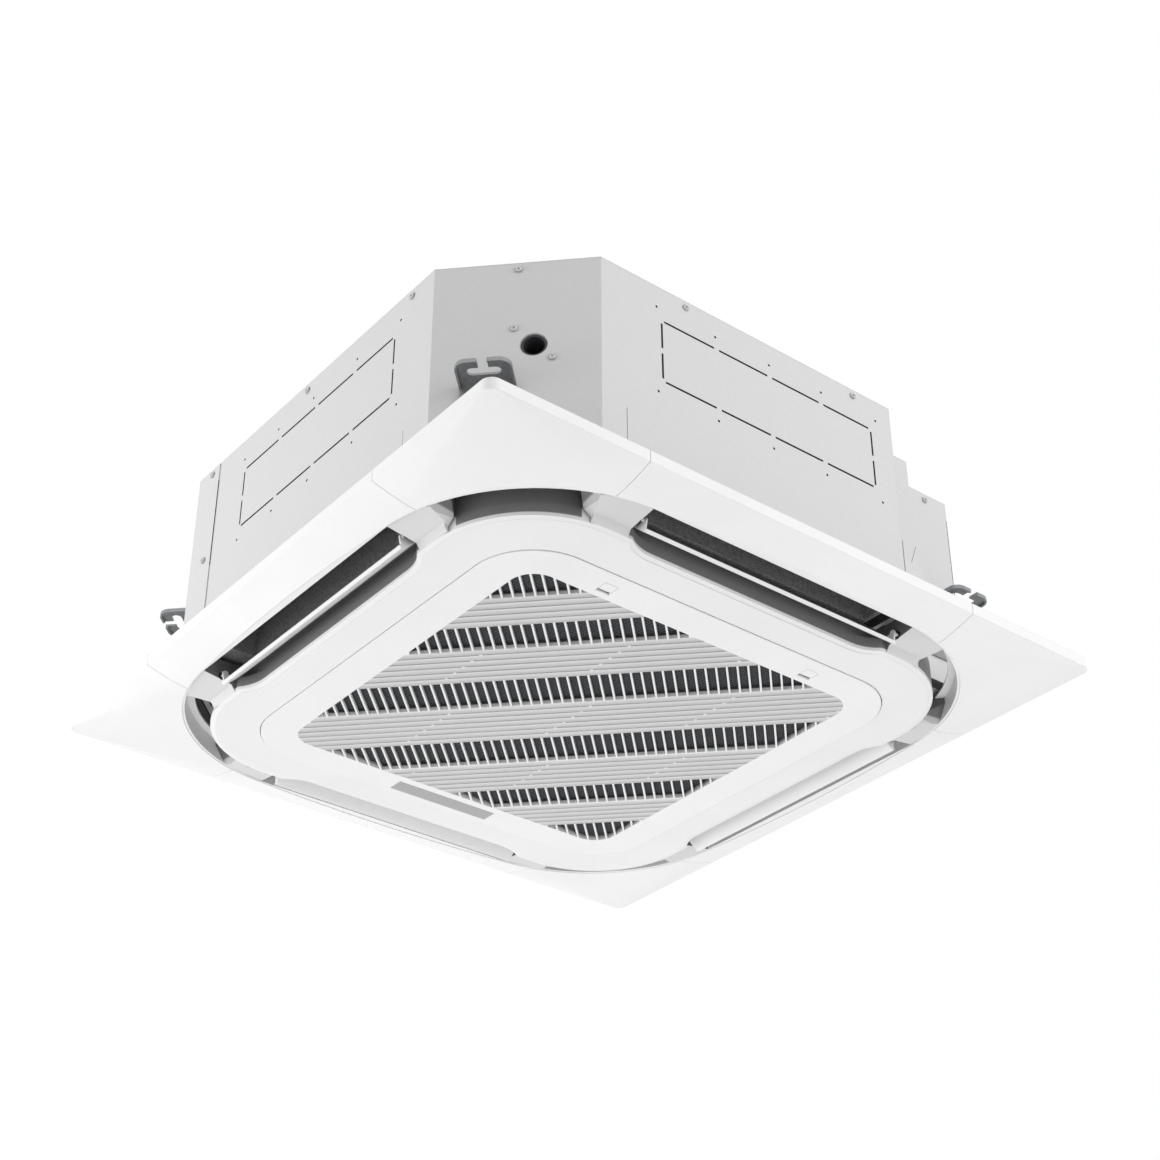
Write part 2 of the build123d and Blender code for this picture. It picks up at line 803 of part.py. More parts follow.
# ---- fan and motor ----
def make_blade():
    """Curved blade between the shroud and the back plate."""
    tip_x = (fan_radius - fan_wall) * math.cos(math.radians(blade_sweep))
    tip_y = (fan_radius - fan_wall) * math.sin(math.radians(blade_sweep))
    middle = ((blade_inner + tip_x) / 2 + blade_bow, tip_y / 2 - blade_bow / 2)
    outer = arc((blade_inner, 0), middle, (tip_x, tip_y))
    back_middle = (middle[0] - blade_wall, middle[1] + blade_wall)
    inner = arc((tip_x - blade_wall, tip_y), back_middle, (blade_inner - blade_wall, 0))
    foot = along((blade_inner - blade_wall, 0), (blade_inner, 0))
    tip = along((tip_x, tip_y), (tip_x - blade_wall, tip_y))
    blade = prism(Face(Wire([outer, tip, inner, foot])), fan_low, fan_high)
    middle_wall = fan_wall / 2
    limits = [
        (dish_outer, fan_low + rim_rise), (fan_eye, fan_low + middle_wall),
        (fan_eye + rim_bend, fan_low + rim_bend + middle_wall),
        (fan_radius, fan_low + rim_rise + middle_wall), (fan_radius, fan_high - middle_wall),
        (dish_outer, fan_high - 3 * middle_wall),
    ]
    return blade & revolve(Plane.XZ * Polygon(*limits, align=None), Axis.Z)


def make_fan():
    """Turbo fan: dished back plate with the hub, blades and shroud."""
    inside = fan_high - fan_wall
    web = [
        (shaft_radius, hub_low), (hub_radius, hub_low), (hub_radius, hub_high - hub_web),
        (dish_inner + fan_wall, dish_low - fan_wall), (dish_outer + fan_wall, inside - fan_wall),
        (fan_radius, inside), (fan_radius, fan_high), (dish_outer, inside),
        (dish_inner, dish_low), (hub_radius, hub_high), (shaft_radius, hub_high),
    ]
    back = revolve(Plane.XZ * Polygon(*web, align=None), Axis.Z)
    rim = [
        (fan_eye, fan_low), (fan_eye + fan_wall, fan_low),
        (fan_eye + rim_bend + fan_wall, fan_low + rim_bend),
        (fan_radius, fan_low + rim_rise), (fan_radius, fan_low + rim_rise + fan_wall),
        (fan_eye + rim_bend, fan_low + rim_bend + fan_wall),
    ]
    shroud = revolve(Plane.XZ * Polygon(*rim, align=None), Axis.Z)
    blade = make_blade()
    blades = [Rot(0, 0, 360 / blade_count * index) * blade for index in range(blade_count)]
    return back + shroud + blades


def make_shaft():
    return rod(shaft_radius, shaft_low, motor_low + shaft_in_motor)


def make_fan_nut():
    plan = RegularPolygon(fan_nut_flats / 2, 6, major_radius=False) - Circle(shaft_radius)
    return prism(plan, hub_low - fan_nut_height, hub_low)


def make_fan_motor():
    """Motor with three ears; its lower end has a bore for the shaft."""
    profile = [
        (0, motor_low), (motor_nose, motor_low), (motor_radius - motor_bevel, motor_low + motor_bevel),
        (motor_radius, motor_low + 2 * motor_bevel), (motor_radius, ear_high),
        (motor_radius - motor_shoulder, motor_high), (0, motor_high),
    ]
    body = revolve(Plane.XZ * Polygon(*profile, align=None), Axis.Z)
    ears = []
    for index in range(motor_ears):
        tab = SlotCenterToCenter(motor_ear_reach, 2 * (rubber_radius + ear_thick))
        tab = Pos(motor_ear_reach / 2, 0) * tab
        ears.append(motor_ear_turn(index) * prism(tab, ear_high - ear_thick, ear_high))
    bore = rod(shaft_radius + shaft_fit, motor_low - 1, motor_low + shaft_in_motor + 1)
    return body + ears - bore


def motor_ear_turn(index):
    """Turn to one of the motor's ears, evenly spaced from +Y."""
    return Rot(0, 0, 90 + 360 / motor_ears * index)


def make_motor_mounts():
    """Rubber mounts between the motor's ears and the top plate."""
    mount = rod(rubber_radius, ear_high, body_top - sheet, motor_ear_reach, 0)
    mounts = [motor_ear_turn(index) * mount for index in range(motor_ears)]
    return Compound(children=mounts)


# ---- drain pump, hose, socket and float switch ----
def make_pump():
    place = at_near_corner(drain_offset, pump_distance, pan_top)
    housing = rod(pump_radius, 0, pump_housing)
    motor = rod(pump_motor_radius, pump_housing, pump_height - pump_outlet)
    outlet = rod(hose_radius - pump_outlet_step, pump_height - pump_outlet, pump_height)
    return place * (housing + motor + outlet)


def make_hose():
    """Hose from the pump's outlet up and out to the socket."""
    rise = drain_height - pan_top
    run = socket_end - socket_length - pump_distance
    path = FilletPolyline((0, 0, pump_height), (0, 0, rise), (run, 0, rise), radius=hose_bend)
    tube = sweep(Plane(origin=path @ 0, z_dir=path % 0) * Circle(hose_radius), path)
    return at_near_corner(drain_offset, pump_distance, pan_top) * tube


def make_socket():
    """Drain socket behind the round hole; its mouth faces out of the cut corner."""
    place = at_near_corner(drain_offset, socket_end - socket_length, drain_height)
    tube = Cylinder(socket_bore + socket_wall, socket_length)
    bore = Pos(0, 0, socket_floor) * Cylinder(socket_bore, socket_length)
    return place * Pos(socket_length / 2, 0, 0) * Rot(0, 90, 0) * (tube - bore)


def make_stem():
    place = at_near_corner(float_offset, pump_distance, pan_top)
    foot = rod(float_radius, 0, stem_foot)
    stem = rod(stem_radius, 0, stem_height)
    cap = rod(stem_cap_radius, stem_height - stem_head, stem_height)
    return place * (foot + stem + cap)


def make_float():
    place = at_near_corner(float_offset, pump_distance, pan_top)
    ring = rod(float_radius, stem_foot, stem_foot + float_height)
    return place * (ring - rod(stem_radius + float_fit, 0, stem_height))


# ---- control box ----
def make_box():
    half = box_length / 2
    box = block(-half, half, -box_far, -box_near, box_low, pan_bottom)
    hollow = block(
        box_wall - half, half - box_wall, box_wall - box_far, -box_near - box_wall,
        box_low - 1, pan_bottom - box_wall)
    return box - hollow


def make_lid():
    half = box_length / 2
    return block(-half, half, -box_far, -box_near, box_low - lid_thick, box_low)


# ---- decoration panel ----
def panel_body(inset, drop):
    """Rim and sloping face as a full solid; the inner one is smaller and higher."""
    half = panel_half - inset
    rim_low = drop - rim_height
    plan = rounded_square(half, panel_corner - inset)
    opening = bowed_square(opening_mid, opening_end, opening_at, opening_apex)
    low = drop - face_low
    face = loft([Pos(0, 0, rim_low) * plan, Pos(0, 0, low) * opening], ruled=True)
    return face + prism(plan, rim_low, 0)


def cover_zone(gap):
    """Square columns over the four corner covers."""
    reach = panel_side
    near = cover_seam + gap
    column = block(near, reach, near, reach, -far, far)
    return [turned(column, quarter) for quarter in range(4)]


def make_panel_shell():
    """Rim and face, open from above and over the air opening."""
    opening = bowed_square(opening_mid, opening_end, opening_at, opening_apex)
    shell = panel_body(0, 0) - panel_body(panel_wall, panel_wall)
    return shell - prism(opening, -far, far)


def make_panel_frame(shell):
    """Side strips joined by the lip, the ledge, the duct wall and the top flange."""
    opening = bowed_square(opening_mid, opening_end, opening_at, opening_apex)
    frame = shell - cover_zone(-seam_gap / 2)
    layer = panel_body(panel_wall, panel_wall + lip_gap)
    layer = layer - panel_body(panel_wall, panel_wall + lip_gap + lip_thick)
    band = offset(opening, amount=cover_lip) - opening
    lip = layer & prism(band, -face_low, -rim_height)
    reach = offset(opening, amount=ledge_overlap)
    ledge = prism(reach - duct_face(), -ledge_low, ledge_thick - ledge_low)
    wall = prism((duct_face(duct_wall) & reach) - duct_face(), -ledge_low, 0)
    flange_plan = duct_face(duct_wall) - rounded_square(flange_half, flange_corner)
    flange = prism(flange_plan, -panel_wall, 0)
    return frame + lip + ledge + wall + flange


def make_corner_covers(shell):
    opening = bowed_square(opening_mid, opening_end, opening_at, opening_apex)
    clear = prism(offset(opening, amount=ledge_overlap + lip_gap), -far, far)
    return [(shell & zone) - clear for zone in cover_zone(seam_gap / 2)]


def make_seal():
    """Foam strip between the body's lower edge and the panel."""
    plan = body_outline(seal_inset) - body_outline(bottom_flange)
    return prism(plan, 0, body_bottom)


# ---- vane frame ----
def make_ring():
    upper = ring_face(ring_outer, scoop_wall)
    lower = ring_face(ring_outer - lip_width, scoop_lip)
    lip_low = -ring_low - lip_drop
    edge = loft([Pos(0, 0, -ring_low) * upper, Pos(0, 0, lip_low) * lower], ruled=True)
    wide = rounded_square(ring_outer, ring_corner)
    seam = rounded_square(seam_half, seam_corner)
    crown = loft([Pos(0, 0, lip_low) * wide, Pos(0, 0, -crown_low) * seam], ruled=True)
    crown = crown & prism(lower, -crown_low, lip_low)
    duct = duct_ring_face()
    ring = prism(upper, -ring_low, -scoop_high) + edge + crown
    ring = ring + prism(duct, -scoop_high, frame_high)
    inner = rounded_square(seam_half + ring_wall, seam_corner + ring_wall)
    low_hollow = offset(upper, amount=-ring_wall) - inner
    high_hollow = offset(duct, amount=-ring_wall) - inner
    shelf = -scoop_high - ring_wall
    ring = ring - prism(low_hollow, ring_wall - ring_low, shelf)
    ring = ring - prism(high_hollow, shelf, far)
    ring = ring - prism(seam, -far, far)
    return ring - prism(inner, inner_wall_high, far)


def make_bridge():
    """Bridge right of the front slot: sloping underside, ramp into the corner outlet, pocket."""
    section = [
        (ring_outer - ring_wall / 2, -panel_wall), (ring_outer - ring_wall / 2, -ring_low),
        (ring_outer, -ring_low), (ring_outer + bridge_knee, -bridge_knee_low),
        (duct_side + 1, -bridge_outer_low), (duct_side + 1, -panel_wall),
    ]
    solid = side_profile(section, bridge_start, bridge_end)
    corner = Rot(0, 0, -45) * block(0, far, -outlet_half, outlet_half, -far, far)
    ramp_low = -bridge_knee_low - ramp_drop
    ramp = Plane.XZ * Polygon(
        (0, ramp_low - ramp_rise), (0, ramp_low), (bridge_ramp, ramp_low + ramp_rise),
        (bridge_ramp, ramp_low - ramp_rise), align=None)
    middle = (ring_outer + duct_side) / 2
    ramp = Pos(bridge_fold, -middle, 0) * Rot(0, 0, ramp_turn) * extrude(ramp, slot_width, both=True)
    pocket_inner = ring_outer + pocket_near
    pocket = block(
        bridge_start + pocket_wall, pocket_far,
        -pocket_inner - pocket_width, -pocket_inner, pocket_floor, far)
    bush_hole = rod_x(
        bush_radius, bridge_start - 1, pin_end + bush_radius, -pivot_out, -pivot_low)
    solid = solid - corner - ramp - pocket - bush_hole
    return solid & prism(duct_face(), -far, far)


def hinge_lugs():
    """Four lugs standing in the back of the hollow ring, two beside each hook."""
    lugs = []
    floor = ring_wall - ring_low
    for side in (-1, 1):
        for face in (-1, 1):
            edge = side * hinge_x + face * (hook_thick / 2 + lug_gap)
            x0, x1 = sorted((edge, edge + face * lug_thick))
            lug = block(x0, x1, hinge_y - hook_boss, hinge_y + hook_boss, floor - 1, hinge_z)
            lug = lug + rod_x(hook_boss, x0, x1, hinge_y, hinge_z)
            bore = rod_x(hinge_pin_radius + hinge_pin_fit, x0 - 1, x1 + 1, hinge_y, hinge_z)
            lugs.append(lug - bore)
    return lugs


def make_vane_frame():
    right_bridge = make_bridge()
    left_bridge = mirror(right_bridge, Plane.YZ)
    bridges = [turned(piece, q) for q in range(4) for piece in (right_bridge, left_bridge)]
    hollow = prism(offset(duct_ring_face(), amount=-ring_wall), -far, far)
    frame = make_ring() + [bridge - hollow for bridge in bridges]
    notches = []
    for side in (-1, 1):
        reach = hook_thick / 2 + hook_notch_gap
        notches.append(block(
            side * hinge_x - reach, side * hinge_x + reach,
            seam_half - 1, seam_half + ring_wall + 1, hook_notch_floor, far))
    return frame - notches + hinge_lugs()


# ---- louvers ----
def make_louver():
    """Blade with two arms and pins, open, on the front side."""
    tilt = math.radians(louver_tilt)
    inward = (-math.cos(tilt), math.sin(tilt))
    upward = (math.sin(tilt), math.cos(tilt))

    def spot(run, lift):
        out = louver_edge + run * inward[0] + lift * upward[0]
        height = -louver_edge_low + run * inward[1] + lift * upward[1]
        return (-out, height)

    edges = [
        arc(spot(0, 0), spot(louver_width / 2, -louver_bulge), spot(louver_width, 0)),
        along(spot(louver_width, 0), spot(louver_width, louver_tip)),
        arc(spot(louver_width, louver_tip),
            spot(louver_width / 2, louver_tip + louver_back_bulge), spot(0, louver_thick)),
        along(spot(0, louver_thick), spot(0, 0)),
    ]
    section = Plane(origin=(-louver_half, 0, 0), x_dir=(0, 1, 0), z_dir=(1, 0, 0)) * Face(Wire(edges))
    blade = extrude(section, 2 * louver_half)
    span = louver_width + 1
    half = louver_half
    plan = [
        along((-half, -1), (half, -1)),
        along((half, -1), (half, louver_end_width)),
        arc((half, louver_end_width), (scoop_knee, louver_knee_width), (scoop_flat, span)),
        along((scoop_flat, span), (-scoop_flat, span)),
        arc((-scoop_flat, span), (-scoop_knee, louver_knee_width), (-half, louver_end_width)),
        along((-half, louver_end_width), (-half, -1)),
    ]
    blade_plane = Plane(
        origin=(0, -louver_edge, -louver_edge_low), x_dir=(1, 0, 0),
        z_dir=(0, -math.sin(tilt), math.cos(tilt)))
    blade = blade & extrude(blade_plane * Face(Wire(plan)), louver_width, both=True)
    arm_plan = Polygon(
        (-pivot_out - arm_radius, -pivot_low), spot(1, 1), spot(arm_foot, 1),
        (-pivot_out + arm_radius, -pivot_low), align=None)
    arm_plan = arm_plan + Pos(-pivot_out, -pivot_low) * Circle(arm_radius)
    pieces = [blade]
    for side in (-1, 1):
        x0 = side * louver_half - (arm_thick if side > 0 else 0)
        plane = Plane(origin=(x0, 0, 0), x_dir=(0, 1, 0), z_dir=(1, 0, 0))
        pieces.append(extrude(plane * arm_plan, arm_thick))
        ends = sorted((side * louver_half, side * pin_end))
        pieces.append(rod_x(pin_radius, ends[0], ends[1], -pivot_out, -pivot_low))
    return pieces[0] + pieces[1:]


def make_bushes():
    """Two bushes for each louver, seated in the bridges."""
    bushes = []
    for side in (-1, 1):
        wall = side * bridge_start
        barrel = sorted((wall, wall + side * pocket_wall))
        rim = sorted((wall, wall - side * bush_flange_thick))
        bush = rod_x(bush_radius, barrel[0], barrel[1], -pivot_out, -pivot_low)
        bush = bush + rod_x(bush_flange, rim[0], rim[1], -pivot_out, -pivot_low)
        reach = 2 * pocket_wall
        bore = rod_x(
            pin_radius + pin_fit, barrel[0] - reach, barrel[1] + reach, -pivot_out, -pivot_low)
        bushes.append(bush - bore)
    return Compound(children=[turned(bush, q) for q in range(4) for bush in bushes])


def make_louver_motors():
    """One geared stepping motor for each louver, in the pocket behind its right pin."""
    start = bridge_start + pocket_wall
    body = rod_x(
        louver_motor_radius, start, start + louver_motor_length,
        -pivot_out, motor_shift - pivot_low)
    neck = rod_x(bush_radius - neck_gap, start, start + neck_length, -pivot_out, -pivot_low)
    bore = rod_x(pin_radius + pin_fit, start - 1, pin_end + neck_gap, -pivot_out, -pivot_low)
    return Compound(children=[turned(body + neck - bore, quarter) for quarter in range(4)])


# ---- intake grille ----
def weave_cells():
    """Openings of the crossed slats: long cells between bars, and slits between slats.

    The weave lies at 45 degrees: dark bands of thin bars alternate with bands of wide slats.
    """
    dark_bands = (
        (-355, -307), (-245, -191), (-115, -49), (40, 105), (183, 234), (299, 355))
    slat_bands = (
        (-296.5, 4, None), (-179.5, 5, -57.8), (-36.5, 6, -1.8), (118.5, 5, 54.5), (248.5, 4, None))
    cells = []
    reach = window_half * root_two
    count = int(reach / bar_pitch) + 1
    for low, high in dark_bands:
        nearest = min(abs(low), abs(high))
        for index in range(-count, count):
            across = (index + 0.5) * bar_pitch
            if abs(across) + nearest < reach:
                cell = Rectangle(bar_pitch - bar_width, high - low)
                cells.append(Pos(across, (low + high) / 2) * cell)
    for first, rows, tie in slat_bands:
        for row in range(rows):
            height = first + row * slat_pitch
            if tie is None:
                cells.append(Pos(0, height) * Rectangle(2 * reach, slat_gap))
                continue
            slit = Rectangle(tie_pitch - tie_width, slat_gap)
            for step in range(-count, count):
                middle = root_two * tie - height + (step + 0.5) * tie_pitch
                if abs(middle) - tie_pitch / 2 + abs(height) < reach:
                    cells.append(Pos(middle, height) * slit)
    return cells


def make_weave():
    window = rounded_square(window_half, window_corner)
    turn = Plane(origin=(0, 0, 0), x_dir=(1, -1, 0), z_dir=(0, 0, 1))
    cells = [(turn * cell) & window for cell in weave_cells()]
    cells = [cell for cell in cells if cell is not None and cell.area > least_cell]
    weave = rounded_square(window_half + weave_lap, window_corner + weave_lap) - cells
    return prism(weave, -grille_low, weave_depth - grille_low)


def make_border():
    """Flat border with a stiffening rib near its edge."""
    corner = seam_corner - grille_gap
    plate = rounded_square(grille_half, corner) - rounded_square(window_half, window_corner)
    border = prism(plate, -grille_low, border_thick - grille_low)
    outer = rounded_square(grille_half - rib_inset, corner - rib_inset)
    inner = rounded_square(grille_half - rib_inset - rib_width, corner - rib_inset - rib_width)
    return border + prism(outer - inner, border_thick / 2 - grille_low, rib_high)


def make_hook(side):
    """Bow that reaches over the ring's inner wall to the hinge axis."""
    axis = (hinge_y, hinge_z)
    bow = Circle(hook_outer) - Circle(hook_inner)
    quarter = Pos(-hook_outer / 2, hook_outer / 2) * Rectangle(hook_outer, hook_outer)
    strut = Pos(0, hook_outer / 2 - 1) * Rectangle(hook_boss * 2, hook_outer - 2)
    plan = (bow & quarter) + strut + Circle(hook_boss)
    foot_wide = hook_outer - hook_inner
    foot_tall = hinge_z + grille_low - border_thick / 2
    foot = Pos(-(hook_outer + hook_inner) / 2, -foot_tall / 2) * Rectangle(foot_wide, foot_tall)
    plan = plan + foot - Circle(hinge_pin_radius)
    x0 = side * hinge_x - hook_thick / 2
    plane = Plane(origin=(x0, axis[0], axis[1]), x_dir=(0, 1, 0), z_dir=(1, 0, 0))
    return extrude(plane * plan, hook_thick)


def make_grille():
    cuts = []
    notch_low = border_thick - grille_low
    for side in (-1, 1):
        cuts.append(block(
            side * button_x - button_length / 2, side * button_x + button_length / 2,
            -button_y - button_width / 2, -button_y + button_width / 2 + button_travel,
            -grille_low - 1, notch_low + 1))
    cuts.append(block(
        plate_middle_x - plate_length / 2, plate_middle_x + plate_length / 2,
        plate_middle_y - plate_width / 2, plate_middle_y + plate_width / 2,
        -grille_low - 1, plate_seat - grille_low))
    return make_weave() + make_border() + [make_hook(-1), make_hook(1)] - cuts


def make_button(side):
    """Sliding button: a cap in the grille's border and a tongue towards the edge."""
    x = side * button_x
    half = button_length / 2 - button_gap
    cap = block(
        x - half, x + half, -button_y - button_width / 2 + button_gap,
        -button_y + button_width / 2, -grille_low, border_thick - grille_low)
    back = border_thick - grille_low
    ledge = block(
        x - half - button_ledge_side, x + half + button_ledge_side,
        -button_y - button_width / 2 - button_ledge_end,
        -button_y + button_width / 2 + button_ledge_end, back, back + button_ledge)
    return cap + ledge


def make_blank_plate():
    return block(
        plate_middle_x - plate_length / 2, plate_middle_x + plate_length / 2,
        plate_middle_y - plate_width / 2, plate_middle_y + plate_width / 2,
        -grille_low - plate_proud, plate_seat - grille_low)


def make_hinge_pins():
    reach = hook_thick / 2 + lug_gap + lug_thick
    pins = [
        rod_x(hinge_pin_radius, side * hinge_x - reach, side * hinge_x + reach, hinge_y, hinge_z)
        for side in (-1, 1)]
    return Compound(children=pins)


def make_filter():
    """Air filter: a frame with crossed stiffeners, lying on the grille's back."""
    low = weave_depth - grille_low
    frame = Rectangle(2 * filter_half, 2 * filter_half)
    frame = fillet(frame.vertices(), filter_corner)
    cell = Rectangle(filter_cell - filter_bar, filter_cell - filter_bar)
    cells = GridLocations(filter_cell, filter_cell, filter_cells, filter_cells) * cell
    ribs = prism(frame - cells, low + filter_net, low + filter_thick)
    return ribs + prism(frame, low, low + filter_net)


def save(shape, name):
    export_step(shape, f"parts/{name}.step")


def main():
    os.makedirs("parts", exist_ok=True)
    save(make_casing(), "casing_shell")
    save(make_top_plate(), "top_plate")
    save(make_screws(), "casing_screws")
    save(corner_bracket(-1, -1), "hanger_bracket_front_left")
    save(corner_bracket(-1, 1), "hanger_bracket_back_left")
    save(corner_bracket(1, 1), "hanger_bracket_back_right")
    save(step_bracket(), "hanger_bracket_front_right")
    save(make_liner(), "foam_liner")
    save(make_pan(), "drain_pan")
    save(make_bell_mouth(), "bell_mouth")
    save(make_coil(), "coil_fins")
    save(make_end_plates(), "coil_end_plates")
    save(make_bends(), "coil_return_bends")
    save(make_gas_pipe(), "gas_pipe")
    save(make_liquid_pipe(), "liquid_pipe")
    save(flare_nut(gas_radius, gas_nut_flats, gas_height), "gas_flare_nut")
    save(flare_nut(liquid_radius, liquid_nut_flats, liquid_height), "liquid_flare_nut")
    save(make_pipe_cover(), "pipe_cover")
    save(make_cable_plate(), "cable_plate")
    save(make_fan(), "turbo_fan")
    save(make_shaft(), "motor_shaft")
    save(make_fan_nut(), "fan_nut")
    save(make_fan_motor(), "fan_motor")
    save(make_motor_mounts(), "motor_mounts")
    save(make_pump(), "drain_pump")
    save(make_hose(), "drain_hose")
    save(make_socket(), "drain_socket")
    save(make_stem(), "float_stem")
    save(make_float(), "float")
    save(make_box(), "control_box")
    save(make_lid(), "control_box_lid")
    save(make_seal(), "panel_seal")
    shell = make_panel_shell()
    save(make_panel_frame(shell), "panel_frame")
    corners = ("back_right", "back_left", "front_left", "front_right")
    for corner, cover in zip(corners, make_corner_covers(shell)):
        save(cover, f"corner_cover_{corner}")
    save(make_vane_frame(), "vane_frame")
    louver = make_louver()
    for quarter, side in enumerate(("front", "right", "back", "left")):
        save(turned(louver, quarter), f"louver_{side}")
    save(make_bushes(), "louver_bushes")
    save(make_louver_motors(), "louver_motors")
    save(make_grille(), "intake_grille")
    save(make_filter(), "air_filter")
    save(make_button(-1), "grille_button_left")
    save(make_button(1), "grille_button_right")
    save(make_blank_plate(), "blank_plate")
    save(make_hinge_pins(), "grille_hinge_pins")


if __name__ == "__main__":
    main()
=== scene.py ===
import bpy
import json
import math
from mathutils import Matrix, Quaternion, Vector


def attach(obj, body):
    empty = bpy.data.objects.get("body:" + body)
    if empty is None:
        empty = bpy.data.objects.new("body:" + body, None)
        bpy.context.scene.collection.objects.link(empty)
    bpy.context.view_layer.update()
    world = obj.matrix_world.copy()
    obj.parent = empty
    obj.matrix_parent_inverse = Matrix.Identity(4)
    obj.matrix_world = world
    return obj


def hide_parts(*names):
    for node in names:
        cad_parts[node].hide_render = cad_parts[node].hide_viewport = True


# Ceiling cassette air conditioner seen from below. Metres, +Z up.
# The origin is the middle of the decoration panel, in the plane of the ceiling.

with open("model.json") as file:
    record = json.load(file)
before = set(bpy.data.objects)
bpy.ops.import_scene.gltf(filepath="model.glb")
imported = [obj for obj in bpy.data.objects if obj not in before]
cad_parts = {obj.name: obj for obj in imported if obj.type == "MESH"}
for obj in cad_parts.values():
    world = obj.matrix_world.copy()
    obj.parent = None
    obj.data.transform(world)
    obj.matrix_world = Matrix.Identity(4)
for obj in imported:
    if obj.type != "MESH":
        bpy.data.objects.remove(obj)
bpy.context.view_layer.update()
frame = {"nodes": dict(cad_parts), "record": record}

# ---- sizes taken from the metal and plastic parts ----
BODY_HALF = 0.420
CUT_DISTANCE = 0.49427
SCREW_HEIGHT = 0.294
SCREW_RADIUS = 0.0045
SCREW_HEAD = 0.0022
RECESS_LENGTH = 0.0046       # cross recess in the screw heads
RECESS_WIDTH = 0.0009
RECESS_DEPTH = 0.0016
SHANK_SHARE = 0.6            # the straight part of a screw head's height
CROWN_SHARE = 0.6            # the flat top's share of a screw head's radius
SHEET = 0.0012
WALL_SCREWS = (              # side, place along it, height, sheets under the head
    (0, -0.1475, SCREW_HEIGHT, 0), (0, 0.1349, SCREW_HEIGHT, 0),
    (1, -0.237, SCREW_HEIGHT, 1), (1, -0.237, 0.1555, 1),
    (1, -0.060, SCREW_HEIGHT, 0), (1, 0.150, SCREW_HEIGHT, 0),
    (2, -0.240, SCREW_HEIGHT, 0), (2, 0.0, SCREW_HEIGHT, 0), (2, 0.240, SCREW_HEIGHT, 0),
    (3, -0.2408, SCREW_HEIGHT, 1), (3, -0.2406, 0.1555, 1),
    (3, -0.0029, SCREW_HEIGHT, 0), (3, 0.2327, SCREW_HEIGHT, 0))
CORNER_SCREWS = ((0.0017, SCREW_HEIGHT), (-0.0026, 0.2044), (0.0429, 0.1585))
STEP_SCREW_X = 0.378
STEP_WALL = -0.313
COIL_HALF = 0.290
COIL_THICK = 0.038
COIL_CORNER = 0.060
COIL_END = 0.196
COIL_LOW = 0.030
COIL_HIGH = 0.288
COIL_OPENING = 50            # degrees clockwise from +X, inside the gap between the coil's ends
BEND_STEPS = 8               # straight pieces in each bend of the coil's middle line
FIN_PITCH = 0.0028
FIN_WALL = 0.0003
RING_HALF = 0.374
RING_CORNER = 0.144
BRIDGE_START = 0.206         # between these the ring's wall meets a bridge and stays free of the painted wall shade
BRIDGE_END = 0.268
LIP_TOP = 0.0378             # depth below the ceiling where the ring's light lip ends and the painted wall shade begins
LIP_FADE = 0.0015
WALL_SHADE_START = 0.93            # painted shade darkens a face as a wall once its normal's Z part is below this
WALL_SHADE_FULL = 0.62             # and paints it fully dark below this
INSIDE_SHADE_START = 0.0255        # above this depth the frame is painted dark all over, as shade far inside
INSIDE_SHADE_FULL = 0.0235
WALL_INSIDE = 0.41885        # just outside the inner skin of the casing's walls
DUCT_MIDDLE = 0.2085         # height of the knock-outs' middle
DUCT_REACH = 0.068           # the slits and small holes all lie this near that height
KNOCKOUT_LENGTH = 0.350
KNOCKOUT_RISE = 0.091
KNOCKOUT_SHADE_LINE = 0.0014       # half the width of the painted dark shade line along a slit
FRONT_KNOCKOUT = -0.0115
BACK_KNOCKOUT = 0.0
LEFT_KNOCKOUT = -0.023
KNOCKOUT_BRIDGE = 0.008
WINDOW_HALF = 0.261
WINDOW_CORNER = 0.034
SLAT_PITCH = 0.013
SLAT_START = 0.0034
SLAT_BANDS = (
    (-0.307, -0.245), (-0.191, -0.115), (-0.049, 0.040), (0.105, 0.183), (0.234, 0.299))
SLAT_SHARE = 0.868           # the rest of the pitch is the slit, which only the ties cross
SLAT_SHADE = 0.30             # how much painted shade a slat gets at its near edge
SLAT_SHADE_RISE = 0.62        # and how much more at its far edge, as a leaning slat is shaded
LATE_BANDS = 0.1             # past here the slats start a little sooner
LATE_SHIFT = 0.001
CELL_SHADE_HEIGHT = -0.0408          # the walls of the cells are painted dark above this height, as shade within the cells

# ---- stage and camera ----
FLOOR_SIZE = 30.0
FLOOR_HEIGHT = -2.0
FILL_LIGHT = 0.5
CAMERA_SENSOR = 36.0         # millimetres, as the lens
CAMERA_LENS = 65.774
CAMERA_SHIFT = (-0.00583, -0.00441)
CAMERA_PLACE = (-1.48193, -1.90114, -1.37162)
CAMERA_TURN = Quaternion((0.451892, 0.829092, -0.288433, -0.158769))


# ---- material helpers ----
def link(tree, source, output, target, socket):
    """Joins a node's output to another node's input."""
    tree.links.new(source.outputs[output], target.inputs[socket])


def add_node(tree, kind, **values):
    """Node of a kind, with its unlinked sockets and settings filled in."""
    node = tree.nodes.new(kind)
    for key, value in values.items():
        if key in node.inputs:
            node.inputs[key].default_value = value
        else:
            setattr(node, key, value)
    return node


def start_material(name, metallic=0.0, roughness=0.5):
    """Empty material with its shader, output and texture coordinates."""
    material = bpy.data.materials.new(name)
    material.use_nodes = True
    tree = material.node_tree
    tree.nodes.clear()
    output = add_node(tree, "ShaderNodeOutputMaterial")
    shader = add_node(tree, "ShaderNodeBsdfPrincipled", Metallic=metallic, Roughness=roughness)
    link(tree, shader, "BSDF", output, "Surface")
    place = add_node(tree, "ShaderNodeTexCoord")
    return material, tree, shader, place


